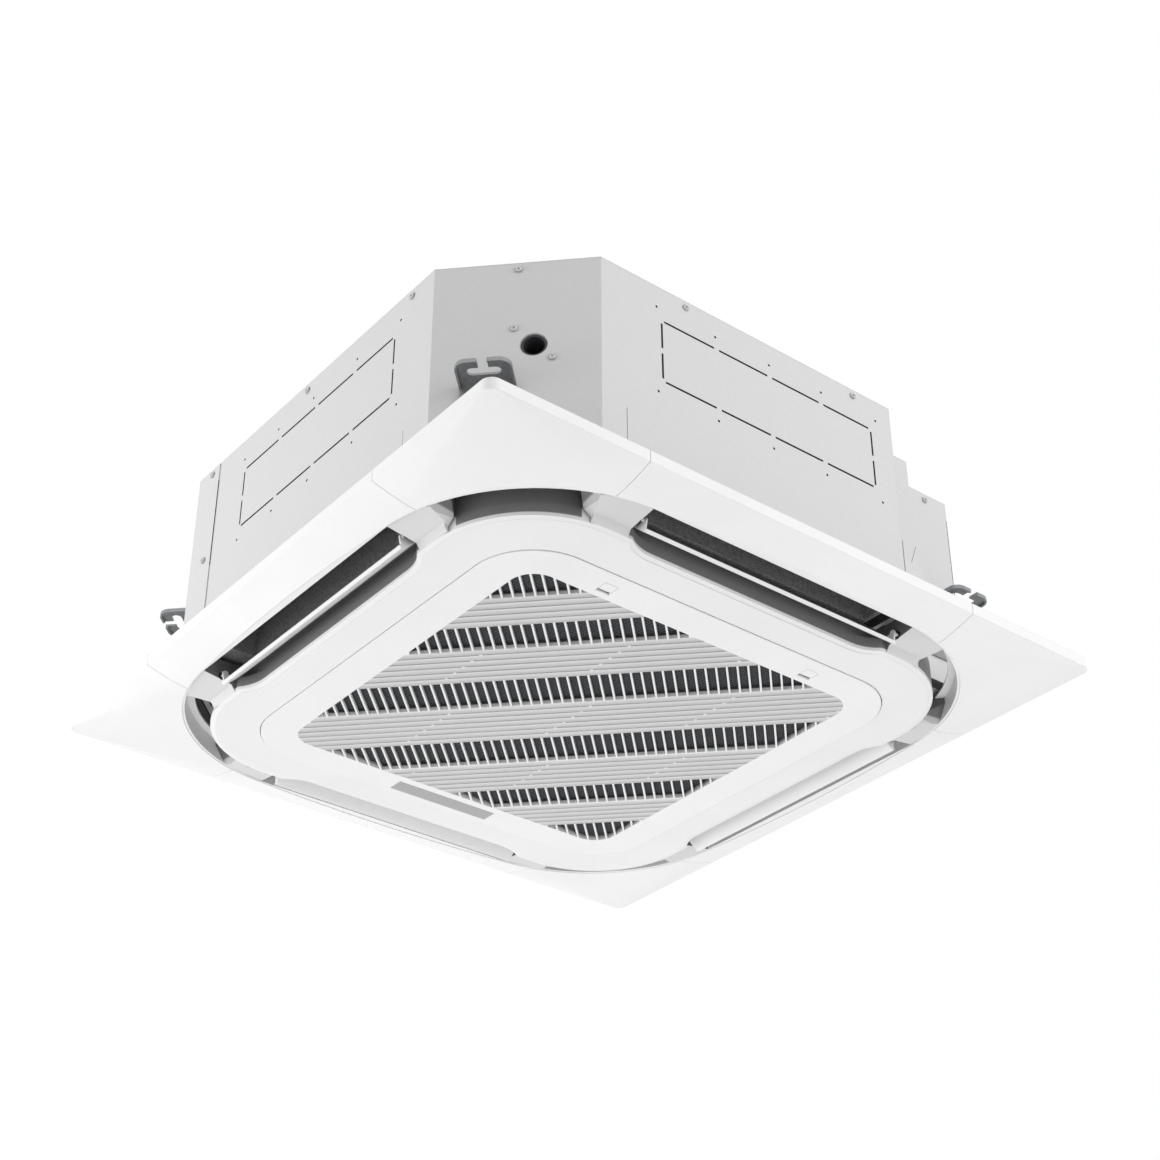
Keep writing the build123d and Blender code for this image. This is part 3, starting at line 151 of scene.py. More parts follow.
def noise(tree, place, scale, detail=3.0, stretch=(1, 1, 1)):
    """Noise on the part's own coordinates; scale is in features per metre."""
    mapping = add_node(tree, "ShaderNodeMapping")
    mapping.inputs["Scale"].default_value = stretch
    link(tree, place, "Object", mapping, "Vector")
    cloud = add_node(tree, "ShaderNodeTexNoise", Scale=scale, Detail=detail, Roughness=0.55)
    link(tree, mapping, "Vector", cloud, "Vector")
    return cloud


def tint(tree, shader, source, output, low, high, first=0.3, last=0.7):
    """Base colour that runs between two tones with a texture."""
    ramp = add_node(tree, "ShaderNodeValToRGB")
    ramp.color_ramp.elements[0].position = first
    ramp.color_ramp.elements[0].color = (*low, 1)
    ramp.color_ramp.elements[1].position = last
    ramp.color_ramp.elements[1].color = (*high, 1)
    link(tree, source, output, ramp, "Fac")
    link(tree, ramp, "Color", shader, "Base Color")
    return ramp


def gloss(tree, shader, source, output, low, high):
    """Roughness that varies with a texture."""
    spread = add_node(tree, "ShaderNodeMapRange")
    spread.inputs["To Min"].default_value = low
    spread.inputs["To Max"].default_value = high
    link(tree, source, output, spread, "Value")
    link(tree, spread, "Result", shader, "Roughness")


def relief(tree, shader, source, output, depth, strength=1.0, edge=0.0):
    """Bump of a given depth in metres, over softened edges where edge is a radius."""
    bump = add_node(tree, "ShaderNodeBump", Strength=strength, Distance=depth)
    link(tree, source, output, bump, "Height")
    if edge:
        bevel = add_node(tree, "ShaderNodeBevel", samples=6, Radius=edge)
        link(tree, bevel, "Normal", bump, "Normal")
    link(tree, bump, "Normal", shader, "Normal")


def shade(colour, factor):
    """A colour made lighter or darker."""
    return tuple(min(1.0, channel * factor) for channel in colour)


def moulded_plastic(
        name, colour, roughness=0.42, grain=2200.0, depth=0.00004, edge=0.0009, vary=0.02):
    """Satin moulded plastic: faint clouding, a fine spark-eroded grain and rounded edges."""
    material, tree, shader, place = start_material(name, roughness=roughness)
    cloud = noise(tree, place, 9.0)
    tint(tree, shader, cloud, "Fac", shade(colour, 1 - vary), shade(colour, 1 + vary * 0.5))
    fine = noise(tree, place, grain, detail=2.0)
    gloss(tree, shader, cloud, "Fac", roughness - 0.05, roughness + 0.08)
    relief(tree, shader, fine, "Fac", depth, edge=edge)
    return material


def coated_steel(name, colour, roughness=0.46):
    """Coated sheet steel: slight waviness of the sheet and a fine spangle in the coat."""
    material, tree, shader, place = start_material(name, metallic=0.0, roughness=roughness)
    spangle = add_node(tree, "ShaderNodeTexVoronoi", Scale=260.0)
    link(tree, place, "Object", spangle, "Vector")
    tint(tree, shader, spangle, "Color", shade(colour, 0.985), shade(colour, 1.01), 0.0, 1.0)
    wave = noise(tree, place, 5.0, detail=1.0)
    gloss(tree, shader, spangle, "Distance", roughness - 0.06, roughness + 0.08)
    relief(tree, shader, wave, "Fac", 0.0012, strength=0.35, edge=0.0008)
    return material


def bare_steel(name, colour, roughness=0.38, stretch=(1, 1, 14)):
    """Zinc-plated steel with drawn streaks and dull patches."""
    material, tree, shader, place = start_material(name, metallic=0.85, roughness=roughness)
    streak = noise(tree, place, 180.0, detail=4.0, stretch=stretch)
    tint(tree, shader, streak, "Fac", shade(colour, 0.82), shade(colour, 1.12))
    patch = noise(tree, place, 45.0)
    gloss(tree, shader, patch, "Fac", roughness - 0.08, roughness + 0.18)
    relief(tree, shader, streak, "Fac", 0.00006, edge=0.0008)
    return material


def warm_metal(name, low, high, roughness):
    """Copper or brass with tarnish."""
    material, tree, shader, place = start_material(name, metallic=1.0, roughness=roughness)
    stain = noise(tree, place, 70.0, detail=5.0)
    tint(tree, shader, stain, "Fac", low, high)
    gloss(tree, shader, stain, "Fac", roughness + 0.15, roughness - 0.05)
    relief(tree, shader, stain, "Fac", 0.00005, edge=0.0005)
    return material


def bead_foam(name, colour, scale, depth):
    """Expanded foam: the outlines of the fused beads show on its skin."""
    material, tree, shader, place = start_material(name, roughness=0.85)
    beads = add_node(tree, "ShaderNodeTexVoronoi", Scale=scale)
    link(tree, place, "Object", beads, "Vector")
    tint(tree, shader, beads, "Distance", shade(colour, 1.25), shade(colour, 0.75), 0.1, 0.8)
    relief(tree, shader, beads, "Distance", depth, strength=0.6)
    return material


def woven_net(name, colour, pitch):
    """Filter net: fine threads crossing along X and Y."""
    material, tree, shader, place = start_material(name, roughness=0.7)
    threads = []
    for axis in ("X", "Y"):
        wave = add_node(
            tree, "ShaderNodeTexWave", bands_direction=axis, Scale=1 / (pitch * 20) * math.pi)
        link(tree, place, "Object", wave, "Vector")
        threads.append(wave)
    cross = add_node(tree, "ShaderNodeMath", operation="MAXIMUM")
    tree.links.new(threads[0].outputs["Fac"], cross.inputs[0])
    tree.links.new(threads[1].outputs["Fac"], cross.inputs[1])
    tint(tree, shader, cross, "Value", shade(colour, 0.35), shade(colour, 1.3), 0.55, 0.95)
    relief(tree, shader, cross, "Value", 0.0004)
    return material


def math_node(tree, operation, first, second):
    """Math node; each input is a number or a (node, output) pair."""
    node = add_node(tree, "ShaderNodeMath", operation=operation)
    for index, value in enumerate((first, second)):
        if isinstance(value, tuple):
            tree.links.new(value[0].outputs[value[1]], node.inputs[index])
        else:
            node.inputs[index].default_value = value
    return node


def vector_math(tree, operation, first, second=None):
    """Vector Math node on a (node, output) pair and a fixed vector."""
    node = add_node(tree, "ShaderNodeVectorMath", operation=operation)
    tree.links.new(first[0].outputs[first[1]], node.inputs[0])
    if second is not None:
        node.inputs[1].default_value = second
    return node


def ramp_mask(tree, source, output, start, full):
    """Smooth mask: 0 where the value is at start, 1 where it is at full."""
    mask = add_node(tree, "ShaderNodeMapRange", interpolation_type="SMOOTHSTEP")
    mask.inputs["From Min"].default_value = start
    mask.inputs["From Max"].default_value = full
    link(tree, source, output, mask, "Value")
    return mask


def outside_square(tree, place, half, radius, soft=0.0003):
    """Mask of what lies outside a square with round corners, seen from below."""
    folded = vector_math(tree, "ABSOLUTE", (place, "Object"))
    flat = vector_math(tree, "MULTIPLY", (folded, "Vector"), (1, 1, 0))
    past = vector_math(tree, "SUBTRACT", (flat, "Vector"), (half - radius, half - radius, 0))
    outer = vector_math(tree, "MAXIMUM", (past, "Vector"), (0, 0, 0))
    reach = vector_math(tree, "LENGTH", (outer, "Vector"))
    return ramp_mask(tree, reach, "Value", radius - soft, radius + soft)


def upright_mask(tree, place, start, full):
    """Mask of walls: 0 where a face looks straight down or up, 1 where it stands upright."""
    split = tree.nodes.new("ShaderNodeSeparateXYZ")
    link(tree, place, "Normal", split, "Vector")
    tilt = math_node(tree, "ABSOLUTE", (split, "Z"), 0.0)
    return ramp_mask(tree, tilt, "Value", start, full)


def both(tree, first, second):
    """Mask where two masks meet."""
    product = add_node(tree, "ShaderNodeMath", operation="MULTIPLY")
    link(tree, first, "Result" if "Result" in first.outputs else "Value", product, 0)
    link(tree, second, "Result" if "Result" in second.outputs else "Value", product, 1)
    return product


def recolour(tree, shader, mask, colour):
    """The base colour goes over to another colour inside a mask."""
    before = shader.inputs["Base Color"].links[0].from_socket
    mix = add_node(tree, "ShaderNodeMix", data_type="RGBA")
    output = "Result" if "Result" in mask.outputs else "Value"
    link(tree, mask, output, mix, "Factor")
    tree.links.new(before, mix.inputs[6])
    mix.inputs[7].default_value = (*colour, 1)
    tree.links.new(mix.outputs[2], shader.inputs["Base Color"])


def pieces_of(material):
    """A material's tree, shader and texture coordinates."""
    tree = material.node_tree
    shader = next(node for node in tree.nodes if node.type == "BSDF_PRINCIPLED")
    place = next(node for node in tree.nodes if node.type == "TEX_COORD")
    return tree, shader, place


def vane_plastic():
    """White ring with painted shade: the bridges outside it are painted greyer, the walls in the
    air ways dark grey and the frame far inside darker still.
    """
    material = moulded_plastic("vane_frame_white", (0.82, 0.82, 0.82), 0.40)
    tree, shader, place = pieces_of(material)
    # painted shade: the recessed bridges outside the ring are painted greyer
    bridge_shade = outside_square(tree, place, RING_HALF, RING_CORNER, 0.0008)
    recolour(tree, shader, bridge_shade, (0.66, 0.66, 0.66))
    # painted shade: upright faces above the lip and away from the bridges are painted dark grey,
    # as the shade in the slots and outlets
    folded = vector_math(tree, "ABSOLUTE", (place, "Object"))
    split = tree.nodes.new("ShaderNodeSeparateXYZ")
    link(tree, folded, "Vector", split, "Vector")
    lesser = math_node(tree, "MINIMUM", (split, "X"), (split, "Y"))
    apart = math_node(tree, "SUBTRACT", (lesser, "Value"), (BRIDGE_START + BRIDGE_END) / 2)
    aside = math_node(tree, "ABSOLUTE", (apart, "Value"), 0.0)
    clear = math_node(tree, "GREATER_THAN", (aside, "Value"), (BRIDGE_END - BRIDGE_START) / 2)
    above = ramp_mask(tree, split, "Z", LIP_TOP, LIP_TOP - LIP_FADE)
    walls = upright_mask(tree, place, WALL_SHADE_START, WALL_SHADE_FULL)
    recolour(tree, shader, both(tree, both(tree, walls, above), clear), (0.17, 0.17, 0.172))
    # painted shade: above a given depth the frame is painted darker still, where shade falls far
    # inside
    depth_shade = ramp_mask(tree, split, "Z", INSIDE_SHADE_START, INSIDE_SHADE_FULL)
    recolour(tree, shader, depth_shade, (0.15, 0.15, 0.152))
    return material


def casing_steel():
    """White coated steel; painted shade makes the duct slits and holes read as dark lines and
    dots.
    """
    material = coated_steel("casing_coated_steel", (0.65, 0.65, 0.65))
    tree, shader, place = pieces_of(material)
    split = tree.nodes.new("ShaderNodeSeparateXYZ")
    link(tree, place, "Object", split, "Vector")
    height = math_node(tree, "SUBTRACT", (split, "Z"), DUCT_MIDDLE)
    apart = math_node(tree, "ABSOLUTE", (height, "Value"), 0.0)
    # painted shade: the cut edges in the slits and holes are painted near-black
    recolour(tree, shader, cut_edge_shade(tree, place, apart), (0.015, 0.015, 0.015))
    # painted shade: a dark rim painted along each slit widens its dark line
    slit_rim_shade = slit_shade_rims(tree, split, height, apart)
    recolour(tree, shader, slit_rim_shade, (0.02, 0.02, 0.02))
    return material


def cut_edge_shade(tree, place, apart):
    """Mask of the cut edges inside the slits and holes of the walls, painted near-black as the
    shade inside them.
    """
    folded = vector_math(tree, "ABSOLUTE", (place, "Object"))
    past = vector_math(tree, "SUBTRACT", (folded, "Vector"), (WALL_INSIDE, WALL_INSIDE, 1))
    sign = vector_math(tree, "SIGN", (past, "Vector"))
    side = vector_math(tree, "MAXIMUM", (sign, "Vector"), (0, 0, 0))
    looks = vector_math(tree, "ABSOLUTE", (place, "Normal"))
    outward = vector_math(tree, "DOT_PRODUCT", (looks, "Vector"))
    link(tree, side, "Vector", outward, 1)
    edge = math_node(tree, "LESS_THAN", (outward, "Value"), 0.5)
    wall = vector_math(tree, "LENGTH", (side, "Vector"))
    near = math_node(tree, "LESS_THAN", (apart, "Value"), DUCT_REACH)
    cut = math_node(tree, "MULTIPLY", (edge, "Value"), (wall, "Value"))
    return both(tree, cut, near)


def slit_shade_rims(tree, split, height, apart):
    """Mask of a narrow rim along the slits of the three knock-outs, painted near-black as shade to
    widen each slit's dark line.
    """
    front = math_node(tree, "LESS_THAN", (split, "Y"), -WALL_INSIDE)
    back = math_node(tree, "GREATER_THAN", (split, "Y"), WALL_INSIDE)
    left = math_node(tree, "LESS_THAN", (split, "X"), -WALL_INSIDE)
    along = None
    for flag, axis, middle in (
            (front, "X", FRONT_KNOCKOUT), (back, "X", BACK_KNOCKOUT), (left, "Y", LEFT_KNOCKOUT)):
        shifted = math_node(tree, "SUBTRACT", (split, axis), middle)
        kept = math_node(tree, "MULTIPLY", (shifted, "Value"), (flag, "Value"))
        along = kept if along is None else math_node(
            tree, "ADD", (along, "Value"), (kept, "Value"))
    walls = math_node(tree, "MAXIMUM", (front, "Value"), (back, "Value"))
    walls = math_node(tree, "MAXIMUM", (walls, "Value"), (left, "Value"))
    width = math_node(tree, "ABSOLUTE", (along, "Value"), 0.0)
    width = math_node(tree, "SUBTRACT", (width, "Value"), KNOCKOUT_LENGTH / 2)
    rise = math_node(tree, "SUBTRACT", (apart, "Value"), KNOCKOUT_RISE / 2)
    outer = math_node(tree, "MAXIMUM", (width, "Value"), (rise, "Value"))
    outer = math_node(tree, "ABSOLUTE", (outer, "Value"), 0.0)
    line = ramp_mask(tree, outer, "Value", KNOCKOUT_SHADE_LINE + 0.0002, KNOCKOUT_SHADE_LINE)
    level = math_node(tree, "GREATER_THAN", (rise, "Value"), (width, "Value"))
    ends = []
    for place_along, pitch in ((along, KNOCKOUT_LENGTH / 4), (height, KNOCKOUT_RISE / 2)):
        turns = math_node(tree, "DIVIDE", (place_along, "Value"), pitch)
        nearest = math_node(tree, "ROUND", (turns, "Value"), 0.0)
        off = math_node(tree, "SUBTRACT", (turns, "Value"), (nearest, "Value"))
        off = math_node(tree, "ABSOLUTE", (off, "Value"), 0.0)
        ends.append(math_node(tree, "GREATER_THAN", (off, "Value"), KNOCKOUT_BRIDGE / 2 / pitch))
    run = math_node(tree, "MULTIPLY", (ends[0], "Value"), (level, "Value"))
    upright = math_node(tree, "SUBTRACT", 1.0, (level, "Value"))
    climb = math_node(tree, "MULTIPLY", (ends[1], "Value"), (upright, "Value"))
    open_part = math_node(tree, "ADD", (run, "Value"), (climb, "Value"))
    rim = math_node(tree, "MULTIPLY", (open_part, "Value"), (walls, "Value"))
    return both(tree, line, rim)


def liner_foam():
    """Grey bead foam, painted black where it lies against the casing, as the shade seen through
    the casing's slits and holes.
    """
    material = bead_foam("liner_bead_foam", (0.40, 0.40, 0.404), 260.0, 0.0004)
    tree, shader, place = pieces_of(material)
    # painted shade: the foam's outer skin against the casing is painted black
    skin = outside_square(tree, place, WALL_INSIDE - 0.002, 0.001, 0.0005)
    recolour(tree, shader, skin, (0.01, 0.01, 0.01))
    return material


def grille_plastic():
    """White grille; each slat is painted greyer towards its far edge, as shade on a slat that
    leans.
    """
    material = moulded_plastic("grille_white_satin", (0.84, 0.84, 0.845), 0.36)
    tree, shader, place = pieces_of(material)
    across = vector_math(tree, "DOT_PRODUCT", (place, "Object"), (0.5 ** 0.5, 0.5 ** 0.5, 0))
    window = outside_square(tree, place, WINDOW_HALF, WINDOW_CORNER)
    inside = math_node(tree, "SUBTRACT", 1.0, (window, "Result"))
    split = tree.nodes.new("ShaderNodeSeparateXYZ")
    link(tree, place, "Object", split, "Vector")
    bands = None
    for low, high in SLAT_BANDS:
        middle = math_node(tree, "SUBTRACT", (across, "Value"), (low + high) / 2)
        apart = math_node(tree, "ABSOLUTE", (middle, "Value"), 0.0)
        band = math_node(tree, "LESS_THAN", (apart, "Value"), (high - low) / 2)
        bands = band if bands is None else math_node(
            tree, "MAXIMUM", (bands, "Value"), (band, "Value"))
    late = math_node(tree, "GREATER_THAN", (across, "Value"), LATE_BANDS)
    shift = math_node(tree, "MULTIPLY", (late, "Value"), LATE_SHIFT)
    moved = math_node(tree, "ADD", (across, "Value"), (shift, "Value"))
    begun = math_node(tree, "SUBTRACT", (moved, "Value"), SLAT_START)
    turns = math_node(tree, "DIVIDE", (begun, "Value"), SLAT_PITCH)
    phase = math_node(tree, "FRACT", (turns, "Value"), 0.0)
    # painted shade: each slat is painted greyer from its near edge to its far edge
    slat_shade_ramp = math_node(tree, "MULTIPLY_ADD", (phase, "Value"), SLAT_SHADE_RISE)
    slat_shade_ramp.inputs[2].default_value = SLAT_SHADE
    on_slat = math_node(tree, "LESS_THAN", (phase, "Value"), SLAT_SHARE)
    slat_shade_ramp = math_node(tree, "MULTIPLY", (slat_shade_ramp, "Value"), (on_slat, "Value"))
    slats = math_node(tree, "MULTIPLY", (bands, "Value"), (inside, "Value"))
    painted_slat_shade = math_node(tree, "MULTIPLY", (slat_shade_ramp, "Value"), (slats, "Value"))
    recolour(tree, shader, painted_slat_shade, (0.36, 0.36, 0.365))
    # painted shade: the cell walls above a given height are painted dark
    depth_shade = ramp_mask(tree, split, "Z", CELL_SHADE_HEIGHT - 0.0002, CELL_SHADE_HEIGHT + 0.0002)
    recolour(tree, shader, both(tree, depth_shade, inside), (0.10, 0.10, 0.105))
    return material


# ---- the finishes ----
FINISHES = {
    "panel_white": moulded_plastic("panel_white_satin", (0.86, 0.86, 0.865), 0.36),
    "vane_white": vane_plastic(),
    "louver_white": moulded_plastic("louver_white", (0.80, 0.80, 0.805), 0.34),
    "grille_white": grille_plastic(),
    "coated_steel": casing_steel(),
    "screw_steel": bare_steel("casing_screw_zinc", (0.62, 0.62, 0.62), 0.3),
    "bracket_steel": bare_steel("bracket_zinc_steel", (0.36, 0.37, 0.38), 0.42),
    "foam": liner_foam(),
    "pan_foam": bead_foam("pan_bead_foam", (0.40, 0.40, 0.404), 320.0, 0.0004),
    "seal_foam": bead_foam("seal_sponge", (0.03, 0.03, 0.032), 700.0, 0.0004),
    "dark_plastic": moulded_plastic("dark_moulding", (0.05, 0.05, 0.055), 0.45),
    "fan_plastic": moulded_plastic(
        "fan_glass_filled", (0.09, 0.09, 0.095), 0.5, grain=900.0, depth=0.00008),
    "bush_black": moulded_plastic("bush_acetal_black", (0.012, 0.012, 0.013), 0.35),
    "pump_plastic": moulded_plastic("pump_grey_moulding", (0.22, 0.23, 0.25), 0.45),
    "float_plastic": moulded_plastic("float_natural_moulding", (0.62, 0.62, 0.58), 0.5),
    "plate_grey": moulded_plastic("blank_plate_grey", (0.40, 0.40, 0.405), 0.3, edge=0.0004),
    "rubber_mount": moulded_plastic(
        "mount_rubber", (0.02, 0.02, 0.02), 0.75, grain=500.0, depth=0.0001),
    "hose_rubber": moulded_plastic(
        "hose_rubber", (0.025, 0.025, 0.026), 0.6, grain=700.0, depth=0.0001),
    "fin_aluminium": bare_steel("fin_aluminium", (0.60, 0.62, 0.63), 0.36, (1, 1, 0.2)),
    "shaft_steel": bare_steel("turned_steel", (0.50, 0.50, 0.51), 0.28, (6, 6, 1)),
    "motor_steel": bare_steel("motor_plated_steel", (0.42, 0.43, 0.44), 0.4, (1, 1, 1)),
    "copper": warm_metal("pipe_copper", (0.42, 0.19, 0.11), (0.80, 0.42, 0.28), 0.28),
    "brass_nut": warm_metal("nut_brass", (0.50, 0.36, 0.15), (0.78, 0.62, 0.33), 0.25),
    "filter_net": woven_net("filter_net", (0.05, 0.052, 0.056), 0.0024),
}


def dress_nodes():
    """Every carried-over part gets the finish of its own slot."""
    for part in frame["record"]["subparts"]:
        piece = frame["nodes"][part["node"]]
        for slot in piece.material_slots:
            slot.material = FINISHES[part["material_slot"]]
        if not piece.material_slots:
            piece.data.materials.append(FINISHES[part["material_slot"]])


# ---- geometry node helpers ----
def start_tree(name, inputs):
    """Node tree with a mesh input, named sizes and a mesh output."""
    tree = bpy.data.node_groups.new(name, "GeometryNodeTree")
    tree.interface.new_socket("Geometry", in_out="INPUT", socket_type="NodeSocketGeometry")
    for label, default in inputs.items():
        socket = tree.interface.new_socket(label, in_out="INPUT", socket_type="NodeSocketFloat")
        socket.default_value = default
    tree.interface.new_socket("Geometry", in_out="OUTPUT", socket_type="NodeSocketGeometry")
    source = tree.nodes.new("NodeGroupInput")
    return tree, source


def end_tree(tree, node, output, material):
    """Realize Instances, Set Material and the group output."""
    realize = tree.nodes.new("GeometryNodeRealizeInstances")
    link(tree, node, output, realize, "Geometry")
    paint = tree.nodes.new("GeometryNodeSetMaterial")
    paint.inputs["Material"].default_value = material
    link(tree, realize, "Geometry", paint, "Geometry")
    result = tree.nodes.new("NodeGroupOutput")
    link(tree, paint, "Geometry", result, "Geometry")


def grown(name, base, tree, sizes):
    """Plain mesh made by a node tree on a base mesh."""
    carrier = bpy.data.objects.new(name + "_base", base)
    bpy.context.collection.objects.link(carrier)
    modifier = carrier.modifiers.new("nodes", "NODES")
    modifier.node_group = tree
    for item in tree.interface.items_tree:
        if item.in_out == "INPUT" and item.name in sizes:
            modifier[item.identifier] = sizes[item.name]
    graph = bpy.context.evaluated_depsgraph_get()
    mesh = bpy.data.meshes.new_from_object(carrier.evaluated_get(graph))
    carrier.modifiers.remove(modifier)
    bpy.data.objects.remove(carrier)
    piece = bpy.data.objects.new(name, mesh)
    bpy.context.collection.objects.link(piece)
    return piece


def points_mesh(name, points, facing=()):
    """Loose points, each with the direction it faces."""
    mesh = bpy.data.meshes.new(name)
    mesh.from_pydata([tuple(point) for point in points], [], [])
    if facing:
        attribute = mesh.attributes.new("facing", "FLOAT_VECTOR", "POINT")
        attribute.data.foreach_set("vector", [value for vector in facing for value in vector])
    return mesh


# ---- casing screws ----
def screw_tree():
    """Pan head with a chamfered top and a cross recess, set on every point along its facing."""
    tree, source = start_tree(
        "cross_screws", {"Head radius": SCREW_RADIUS, "Head height": SCREW_HEAD})
    shank = add_node(tree, "GeometryNodeMeshCylinder", Vertices=24)
    link(tree, source, "Head radius", shank, "Radius")
    low = math_node(tree, "MULTIPLY", (source, "Head height"), SHANK_SHARE)
    link(tree, low, "Value", shank, "Depth")
    crown = add_node(tree, "GeometryNodeMeshCone", Vertices=24)
    link(tree, source, "Head radius", crown, "Radius Bottom")
    top = math_node(tree, "MULTIPLY", (source, "Head radius"), CROWN_SHARE)
    link(tree, top, "Value", crown, "Radius Top")
    rest = math_node(tree, "MULTIPLY", (source, "Head height"), 1 - SHANK_SHARE)
    link(tree, rest, "Value", crown, "Depth")
    lift = math_node(tree, "MULTIPLY", (source, "Head height"), SHANK_SHARE / 2)
    place = tree.nodes.new("ShaderNodeCombineXYZ")
    link(tree, lift, "Value", place, "Z")
    raise_crown = tree.nodes.new("GeometryNodeTransform")
    link(tree, crown, "Mesh", raise_crown, "Geometry")
    link(tree, place, "Vector", raise_crown, "Translation")
    head = tree.nodes.new("GeometryNodeMeshBoolean")
    head.operation = "UNION"
    link(tree, shank, "Mesh", head, "Mesh 2")
    link(tree, raise_crown, "Geometry", head, "Mesh 2")
    cut = tree.nodes.new("GeometryNodeMeshBoolean")
    cut.operation = "DIFFERENCE"
    link(tree, head, "Mesh", cut, "Mesh 1")
    for size in (
            (RECESS_LENGTH, RECESS_WIDTH, RECESS_DEPTH),
            (RECESS_WIDTH, RECESS_LENGTH, RECESS_DEPTH)):
        arm = add_node(tree, "GeometryNodeMeshCube")
        arm.inputs["Size"].default_value = size
        move = tree.nodes.new("GeometryNodeTransform")
        move.inputs["Translation"].default_value = (0, 0, SCREW_HEAD * 0.75)
        link(tree, arm, "Mesh", move, "Geometry")
        link(tree, move, "Geometry", cut, "Mesh 2")
    facing = add_node(tree, "GeometryNodeInputNamedAttribute", data_type="FLOAT_VECTOR")
    facing.inputs["Name"].default_value = "facing"
    align = add_node(tree, "FunctionNodeAlignRotationToVector", axis="Z")
    link(tree, facing, "Attribute", align, "Vector")
    spread = tree.nodes.new("GeometryNodeInstanceOnPoints")
    link(tree, source, "Geometry", spread, "Points")
    link(tree, cut, "Mesh", spread, "Instance")
    link(tree, align, "Rotation", spread, "Rotation")
    end_tree(tree, spread, "Instances", FINISHES["screw_steel"])
    return tree


def quarter_turn(point, quarter):
    """The front side's point, turned to another side of the casing."""
    x, y, z = point
    for _ in range(quarter):
        x, y = -y, x
    return (x, y, z)


def make_screws():
    """Heads of all casing screws, on the walls, the step and the cut corner."""
    points = []
    facing = []
    for quarter, along, height, sheets in WALL_SCREWS:
        out = BODY_HALF + sheets * SHEET + SCREW_HEAD / 2
        points.append(quarter_turn((along, -out, height), quarter))
        facing.append(quarter_turn((0, -1, 0), quarter))
    points.append((STEP_SCREW_X, STEP_WALL - SCREW_HEAD / 2, SCREW_HEIGHT))
    facing.append((0, -1, 0))
    reach = (CUT_DISTANCE + SCREW_HEAD / 2) / math.sqrt(2)
    for offset, height in CORNER_SCREWS:
        along = offset / math.sqrt(2)
        points.append((along - reach, -along - reach, height))
        facing.append((-math.sqrt(0.5), -math.sqrt(0.5), 0))
    sizes = {"Head radius": SCREW_RADIUS, "Head height": SCREW_HEAD}
    base = points_mesh("screw_points", points, facing)
    screws = grown("casing_screw_heads", base, screw_tree(), sizes)
    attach(screws, "cassette")
    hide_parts("casing_screws")


# ---- coil fins ----
def fin_tree():
    """Thin upright fins across a path, one every pitch."""
    tree, source = start_tree("coil_fins", {
        "Pitch": FIN_PITCH, "Wall": FIN_WALL, "Depth": COIL_THICK, "Height": COIL_HIGH - COIL_LOW})
    curve = tree.nodes.new("GeometryNodeMeshToCurve")
    link(tree, source, "Geometry", curve, "Mesh")
    points = tree.nodes.new("GeometryNodeCurveToPoints")
    points.mode = "LENGTH"
    link(tree, curve, "Curve", points, "Curve")
    link(tree, source, "Pitch", points, "Length")
    size = tree.nodes.new("ShaderNodeCombineXYZ")
    link(tree, source, "Depth", size, "X")
    link(tree, source, "Height", size, "Y")
    link(tree, source, "Wall", size, "Z")
    fin = tree.nodes.new("GeometryNodeMeshCube")
    link(tree, size, "Vector", fin, "Size")
    align = add_node(tree, "FunctionNodeAlignRotationToVector", axis="Z")
    link(tree, points, "Tangent", align, "Vector")
    upright = add_node(tree, "FunctionNodeAlignRotationToVector", axis="Y", pivot_axis="Z")
    upright.inputs["Vector"].default_value = (0, 0, 1)
    link(tree, align, "Rotation", upright, "Rotation")
    spread = tree.nodes.new("GeometryNodeInstanceOnPoints")
    link(tree, points, "Points", spread, "Points")
    link(tree, fin, "Mesh", spread, "Instance")
    link(tree, upright, "Rotation", spread, "Rotation")
    end_tree(tree, spread, "Instances", FINISHES["fin_aluminium"])
    return tree


def coil_path():
    """Middle line of the coil: three full sides, open at the pipe corner."""
    half = COIL_HALF - COIL_THICK / 2
    radius = COIL_CORNER - COIL_THICK / 2
    middle = (COIL_LOW + COIL_HIGH) / 2
    path = [(COIL_END, -half)]
    for quarter in (2, 1, 0):
        for step in range(BEND_STEPS + 1):
            turn = math.radians(90 * step / BEND_STEPS)
            x = half - radius + radius * math.sin(turn)
            y = half - radius + radius * math.cos(turn)
            for _ in range(quarter):
                x, y = -y, x
            path.append((x, y))
    path.append((half, -COIL_END))
    return ordered([(x, y, middle) for x, y in path])


def ordered(points):
    """The path's corners sorted into one run round the casing from the front side."""
    def angle(point):
        turn = math.atan2(point[1], point[0])
        return (-turn + 2 * math.pi - math.radians(COIL_OPENING)) % (2 * math.pi)
    return sorted(points, key=angle)


def make_coil():
    """The coil's stack of fins."""
    points = coil_path()
    mesh = bpy.data.meshes.new("coil_path")
    mesh.from_pydata(points, [(i, i + 1) for i in range(len(points) - 1)], [])
    sizes = {
        "Pitch": FIN_PITCH, "Wall": FIN_WALL, "Depth": COIL_THICK, "Height": COIL_HIGH - COIL_LOW}
    fins = grown("coil_fin_stack", mesh, fin_tree(), sizes)
    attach(fins, "cassette")
    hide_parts("coil_fins")


# ---- floor, world, lamps and camera ----
def background_material(name, colour):
    """Pale surface that still takes the object's shadow."""
    material, tree, shader, place = start_material(name, roughness=0.9)
    cloud = noise(tree, place, 0.6)
    tint(tree, shader, cloud, "Fac", shade(colour, 0.985), colour)
    return material


